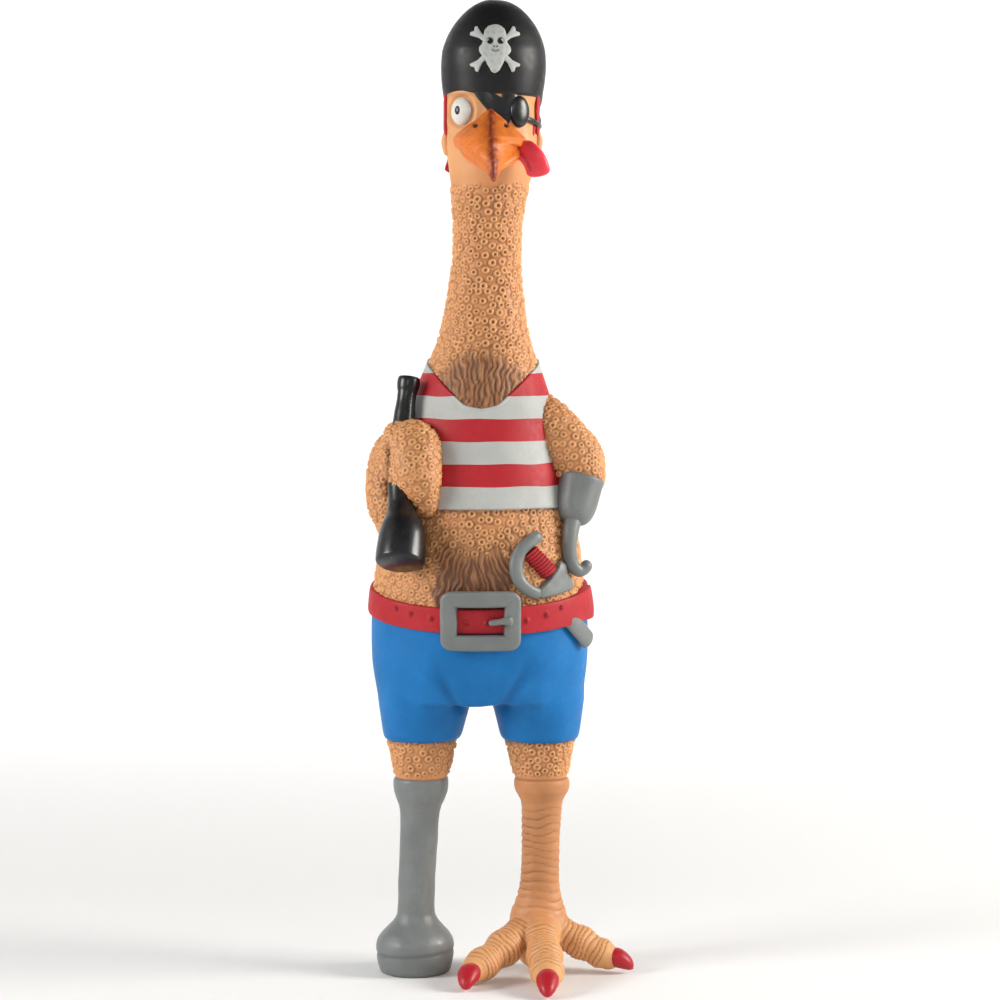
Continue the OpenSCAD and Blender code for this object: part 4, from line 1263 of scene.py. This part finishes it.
def make_scarf():
    angle = np.radians(np.linspace(-22, 196, 240))
    ends = rounded_ends(240, 85, 1.5, 1.5)
    half = 9.6 * ends
    t = np.arange(48) / 48 * TURN
    middle = 381 + 0.7 * ripple(181, 30, np.degrees(angle) / 2)
    points = BODY.at(
        angle[:, None] + 0 * t, middle[:, None] + half[:, None] * signed_power(np.cos(t), 0.35),
        0.25 + 0.95 * signed_power(np.sin(t), 0.5)
        + 0.25 * ripple(182, 16, np.degrees(angle)[:, None] / 2, 9 * np.cos(t)[None]),
    )
    cloth = [grid(points[::-1], low=True, high=True)]
    cloth.append(
        ball_chain([(22.6, -7.4, 374, 1.4), (22.4, -8.4, 371.4, 1.1), (21.6, -9, 369.6, 0.6)])
    )
    for path, width in (
        ([(-1, 24.4, 374), (-6, 25.6, 370), (-10.4, 23.4, 363), (-11.8, 19.6, 355)], 4.4),
        ([(-1, 24.4, 374), (3, 26.6, 368), (6.4, 26.4, 360), (8, 24.6, 351)], 4.8),
    ):
        line = route(path, 110)
        share = np.linspace(0, 1, 110)
        size = rounded_ends(110, 26, 3, 1.6)
        wide = (2.4 + width * share**0.8 * 0.62) * size
        tail = sweep(
            line, wide, 1.5 * size * (1 + 0.2 * np.sin(share * 9)), (0.7, 0.5, 0.35), count=60,
            power=3
        )
        tail.push(0.22 * ripple(183, 6, *tail.points.T))
        cloth.append(tail)
    knot = ball_chain([(-3.4, 24.6, 377, 2.4), (-0.6, 25.6, 375.8, 3.4), (2.2, 24.8, 374.8, 2.4)])
    knot.push(0.25 * ripple(184, 5, *knot.points.T))
    piece("head_scarf", merge(*cloth, knot), "red_paint", "head", "head_scarf")


def make_lobes():
    lobes = []
    for side in (-1, 1):
        base = BODY.at(
            np.array(math.radians(-6 if side > 0 else 186)), np.array(368.0), np.array(0.2)
        )
        lobes.append(ball_chain([
            (base[0], base[1], base[2] + 4.2, 1.2),
            (base[0] + side * 0.3, base[1] - 0.4, base[2], 1.9),
            (base[0] - side * 0.3, base[1] - 0.6, base[2] - 4.4, 1.5),
        ]))
    piece("ear_lobes", melt(lobes, 0.4, 5), "face", "head", "ear_lobes")


# ---------------------------------------------------------------- legs

def make_thighs():
    for name, body, side in (
        ("right_thigh_skin", "right_leg", -1), ("left_thigh_skin", "left_leg", 1)
    ):
        form = Form([
            [86.6, side * (LEG_X + 0.4), 0, 11.3, 11.3, 11.3],
            [89, side * (LEG_X + 0.3), 0, 11.7, 11.7, 11.7],
            [94, side * (LEG_X + 0.1), 0, 12.8, 12.9, 13], [99, side * LEG_X, 0, 13.9, 14.1, 14.2],
            [104, side * LEG_X, 0, 15, 15.2, 15.4], [108, side * LEG_X, 0, 15.4, 15.4, 15.6],
            [112, side * LEG_X, 0, 14.2, 14.2, 14.2],
            [116, side * LEG_X, 0, 11.8, 11.8, 11.8], [119.6, side * LEG_X, 0, 7.4, 7.4, 7.4],
            [121.2, side * LEG_X, 0, 1, 1, 1],
        ])
        z = np.arange(86.6, 121, 0.45)
        shape = tube(form, z, circle(220))
        height = shape.points[:, 2]
        pimple(shape, fade(height, 88.4, 90) * fade(108 - height, 0, 2), 191 + side)
        # painted shade at the thigh's lower edge and under the trunks' hem
        shape.add_paint(wash=0.5 * fade(88.6 - height, 0, 1.2) + 0.35 * fade(height, 102.6, 104.6))
        piece(name, shape, "skin", body, name)


def make_peg():
    rings = np.array([
        [0, -29.6, 14.2], [0.5, -29.6, 15.2], [2, -29.6, 16], [5, -29.6, 16.7], [8, -29.6, 17.15],
        [11.5, -29.6, 17.3], [14.4, -29.5, 16.9], [17.4, -29.4, 15.3], [20.4, -29.3, 12.6],
        [23.4, -29.2, 10], [26.6, -29.1, 8.5],
        [31, -28.9, 8.1], [42, -28.5, 8.1], [56, -28, 8.3], [66, -27.6, 8.4], [71, -27.3, 8.7],
        [74.5, -27.1, 9.4], [78, -26.9, 10.9],
        [81.6, -26.8, 12], [85.2, -26.8, 12.2], [87.2, -26.7, 11.9], [87.8, -26.6, 11.2],
    ])
    form = Form([[z, x, 0, r, r, r] for z, x, r in rings])
    z = np.concatenate([np.linspace(0, 12, 50), np.arange(12.4, 87.8, 0.55)])
    shape = tube(form, z, circle(200))
    x, y, height = shape.points.T
    groove = bell(height - 9.6 - 0.05 * (x + 29), 1.0)
    wave = 0.22 * ripple(201, 30, x, y, height) + 0.1 * ripple(202, 9, x, y, height)
    shape.push((wave - 0.35 * groove) * fade(height, 0.2, 2))
    # painted shade in the groove, at the foot of the peg by the floor and at its top under the thigh
    shape.add_paint(
        wash=0.35 * groove + 0.25 * fade(2 - height, 0, 2) + 0.3 * fade(height, 86.8, 87.8)
    )
    piece("peg_leg", shape, "grey_paint", "right_leg", "peg_leg")


TOES = {
    "inner": [
        (22, 1, 19, 10), (14, -7.5, 15.5, 7.3), (10, -12.5, 13, 8.3), (5, -18.5, 10.4, 6.4),
        (0.8, -23.6, 8.4, 7.5), (-3.6, -29, 6.4, 5.7)
    ],
    "middle": [
        (26.4, -3, 19, 9.6), (27.4, -15, 13.6, 7.2), (28, -22, 11.2, 8.2), (28.6, -30, 8.6, 6.5),
        (28.9, -36, 7.8, 7.5), (29, -41.5, 6.4, 6)
    ],
    "outer": [
        (31, 1.4, 19, 9.6), (39.6, 0, 15.4, 6.9), (44.6, -0.8, 13, 7.7), (50, -1.8, 10.2, 6.3),
        (53.4, -2.4, 8.6, 7), (56.6, -3, 7, 5.6)
    ],
}


def nearest_on(path, points):
    """How far along a path each point lies, and its distance from the path."""
    tree = KDTree(len(path))
    for k, p in enumerate(path):
        tree.insert(p, k)
    tree.balance()
    found = [tree.find(p)[1:] for p in points.tolist()]
    return np.array([k for k, _ in found]), np.array([d for _, d in found])


def make_foot():
    shank = Form([
        [16, 25.6, 3, 12.4, 12, 12], [22, 25.6, 3, 13, 11.8, 12], [27, 25.6, 3, 12.2, 11, 11.4],
        [31, 25.8, 3.2, 10.6, 10, 10.4],
        [36, 26, 3, 9.3, 9, 9.4], [42, 26.2, 2.6, 8.6, 8.5, 8.8], [55, 26.5, 1.8, 8.4, 8.4, 8.6],
        [68, 26.8, 0.8, 8.7, 8.7, 8.8],
        [76, 27, 0.4, 9.2, 9.1, 9.2], [79.4, 27, 0.2, 10.6, 10.6, 10.6], [82, 27, 0, 12, 12, 12],
        [85, 27, 0, 12.4, 12.4, 12.4],
        [87, 26.8, 0, 12, 12, 12], [87.8, 26.7, 0, 11.2, 11.2, 11.2],
    ])
    z = np.arange(16, 87.8, 0.5)
    shin = tube(shank, z, circle(130))
    heel = ball_chain([(25.6, 3, 24, 10.6), (25.6, 4.6, 15, 11), (25.4, 5, 9.8, 9.8)])
    toes = [ball_chain(balls) for balls in TOES.values()]
    shape = melt([shin, heel, *toes], 0.6, 6)
    shape.points[:, 2] = np.maximum(shape.points[:, 2], 0)
    x, y, height = shape.points.T
    up = fade(height, 1.2, 5)
    plates = np.abs(np.sin((height + 1.1 * ripple(211, 18, x, y, height)) * math.pi / 3.7))
    fine = ripple(212, 3.2, height * 1.4, x * 0.25, y * 0.25)
    shin_area = (
        fade(height, 24, 31) * fade(79 - height, 0, 6)
        * (0.65 + 0.35 * ripple(213, 16, x, y, height))
    )
    height_map = shin_area * (0.55 * (plates**0.6 - 0.7) + 0.2 * fine)
    shade = shin_area * (0.55 * bell(plates, 0.25) + 0.12 * fade(-fine, 0, 1))
    for k, balls in enumerate(TOES.values()):
        path = route(np.array(balls)[:, :3], 300)
        length = np.linalg.norm(np.diff(path, axis=0), axis=1).sum()
        index, distance = nearest_on(path, shape.points)
        s = index / 299 * length
        mine = (
            fade(11.5 - distance, 0, 2) * fade(s, 3, 8) * fade(length - s, 0.6, 2.6) * up
            * fade(29 - height, 0, 4)
        )
        others = [
            nearest_on(route(np.array(b)[:, :3], 80), shape.points)[1] for j,
            b in enumerate(TOES.values()) if j != k
        ]
        mine = mine * fade(np.minimum(*others) - distance, -1.2, 1.2)
        wrinkle = np.abs(np.sin((s + 0.7 * ripple(220 + k, 9, x, y, height)) * math.pi / 2.15))
        height_map = height_map + mine * 0.68 * (wrinkle**0.6 - 0.7)
        shade = shade + mine * 0.6 * bell(wrinkle, 0.3)
    shape.push(height_map * fade(height, 0.3, 2.5))
    shape.points[:, 2] = np.maximum(shape.points[:, 2], 0)
    # painted shade between the shin's scales and the toes' wrinkles, by the floor, under the thigh
    # and up the shin; painted light on the toes
    shape.add_paint(
        wash=1.2 * shade + 0.25 * fade(4 - height, 0, 4) + 0.3 * fade(height, 86.6, 87.6)
        + 0.2 * fade(height, 26, 44),
        lift=0.45 * fade(26 - height, 0, 8) * (1 - np.clip(shade, 0, 1)),
    )
    piece("left_foot", shape, "skin", "left_leg", "left_foot", "left_shank")


CLAWS = {
    "inner_claw": [(-2.6, -29.4, 7.6), (-4.8, -34, 6.6), (-6, -39, 4.2), (-6.4, -43, 1.5)],
    "middle_claw": [(29, -41.5, 8), (28.9, -47, 6.8), (28.7, -52.4, 4.2), (28.6, -56.8, 1.4)],
    "outer_claw": [(56, -3.2, 8.2), (60, -4, 7.2), (64, -4.8, 5.2), (67.6, -5.6, 2.2)],
}


def make_claws():
    for name, line in CLAWS.items():
        path = route(line, 90)
        share = np.linspace(0, 1, 90)
        size = smooth([0, 0.12, 0.35, 0.7, 0.92, 1], [1.8, 4.0, 5.0, 3.8, 1.9, 0.2], share)
        along = path[-1] - path[0]
        side = np.cross(along, (0, 0, 1))
        shape = sweep(path, size, 0.86 * size, side, count=64)
        shape.points[:, 2] = np.maximum(shape.points[:, 2], 0.05)
        # painted shade at each claw's root where it leaves the toe
        shape.add_paint(
            wash=np.concatenate([np.repeat(0.5 * fade(0.3 - share, 0, 0.15), 64), [0, 0]])
        )
        piece(name, shape, "claw_red", "left_leg", name)


def paint_squeaker():
    """The squeaker's own CAD parts keep their shapes and get their plastics."""
    for name, material in (
        ("squeaker_port", "squeaker_plastic"), ("squeaker_barrel", "squeaker_plastic"),
        ("squeaker_reed_seat", "squeaker_plastic"),
        ("squeaker_cap", "squeaker_plastic"), ("squeaker_reed", "reed_film"),
    ):
        mesh = frame["nodes"][name].data
        mesh.materials.clear()
        mesh.materials.append(MATERIALS[material])


# ---------------------------------------------------------------- studio

def make_studio():
    """A pale round floor that curves up into a wall on every side, and large soft lights."""
    flat_radius, bend_radius, wall_height, middle_radius, sides = 2.2, 1.2, 6, 0.001, 72
    bend = np.radians(np.linspace(0, 90, 16))
    curve = zip(flat_radius + bend_radius * np.sin(bend), bend_radius - bend_radius * np.cos(bend))
    profile = [(middle_radius, 0), *curve, (flat_radius + bend_radius, wall_height)]
    turn = np.arange(sides) / sides * TURN
    corners = [(r * math.cos(a), r * math.sin(a), z) for r, z in profile for a in turn]
    bowl = [
        (k + i, k + sides + i, k + sides + (i + 1) % sides, k + (i + 1) % sides)
        for k in range(0, sides * (len(profile) - 1), sides) for i in range(sides)
    ]
    mesh = bpy.data.meshes.new("floor")
    mesh.from_pydata(corners, [], [tuple(range(sides)), *bowl])
    mesh.polygons.foreach_set("use_smooth", np.ones(len(bowl) + 1, bool))
    floor = bpy.data.objects.new("floor", mesh)
    bpy.context.collection.objects.link(floor)
    material, _, _, shader = nodes_of("floor")
    shader.inputs["Base Color"].default_value = (0.84, 0.84, 0.84, 1)
    shader.inputs["Roughness"].default_value = 0.85
    shader.inputs["Emission Color"].default_value = (1, 1, 1, 1)
    shader.inputs["Emission Strength"].default_value = 0.05
    mesh.materials.append(material)
    world = bpy.data.worlds.new("studio")
    bpy.context.scene.world = world
    world.use_nodes = True
    world.node_tree.nodes["Background"].inputs["Color"].default_value = (1, 1, 1, 1)
    world.node_tree.nodes["Background"].inputs["Strength"].default_value = 0.05
    for name, place, size, power, colour in (
        ("left_softbox", (-1.1, -0.45, 0.6), 0.5, 11, (1.0, 0.98, 0.95)),
        ("right_softbox", (1.1, -0.15, 0.6), 0.5, 15.5, (1.0, 0.97, 0.91)),
        ("front_fill", (-0.2, -1.7, 0.9), 0.5, 2.4, (1.0, 1.0, 1.0)),
        ("wall_light", (0.0, 1.3, 1.9), 2.4, 52, (1.0, 1.0, 1.0)),
    ):
        data = bpy.data.lights.new(name, "AREA")
        data.size, data.energy, data.color = size, power, colour
        light = bpy.data.objects.new(name, data)
        light.location = place
        target = Vector((0, 3.2, 0.8)) if name == "wall_light" else Vector((0, 0, 0.22))
        light.rotation_euler = (target - Vector(place)).to_track_quat("-Z", "Y").to_euler()
        bpy.context.collection.objects.link(light)
    bpy.context.scene.view_settings.view_transform = "Standard"


def make_camera():
    data = bpy.data.cameras.new("camera")
    data.lens, data.sensor_width = 106, 36
    camera = bpy.data.objects.new("camera", data)
    middle = to_frame((8.4, 0, 0))
    camera.location = (middle[0], middle[1] - 1.3, 0.29)
    aim = Vector((middle[0], middle[1], 0.2108))
    camera.rotation_euler = (aim - camera.location).to_track_quat("-Z", "Y").to_euler()
    bpy.context.collection.objects.link(camera)
    bpy.context.scene.camera = camera


make_camera()
make_studio()
make_torso()
make_neck()
make_shirt()
make_trunks()
make_belt()
make_buckle()
make_wings()
make_bottle()
make_hook()
make_cutlass()
make_head()
make_hat()
make_badge()
make_eye()
make_patch()
make_beak()
make_tongue()
make_scarf()
make_lobes()
make_thighs()
make_peg()
make_foot()
make_claws()
paint_squeaker()
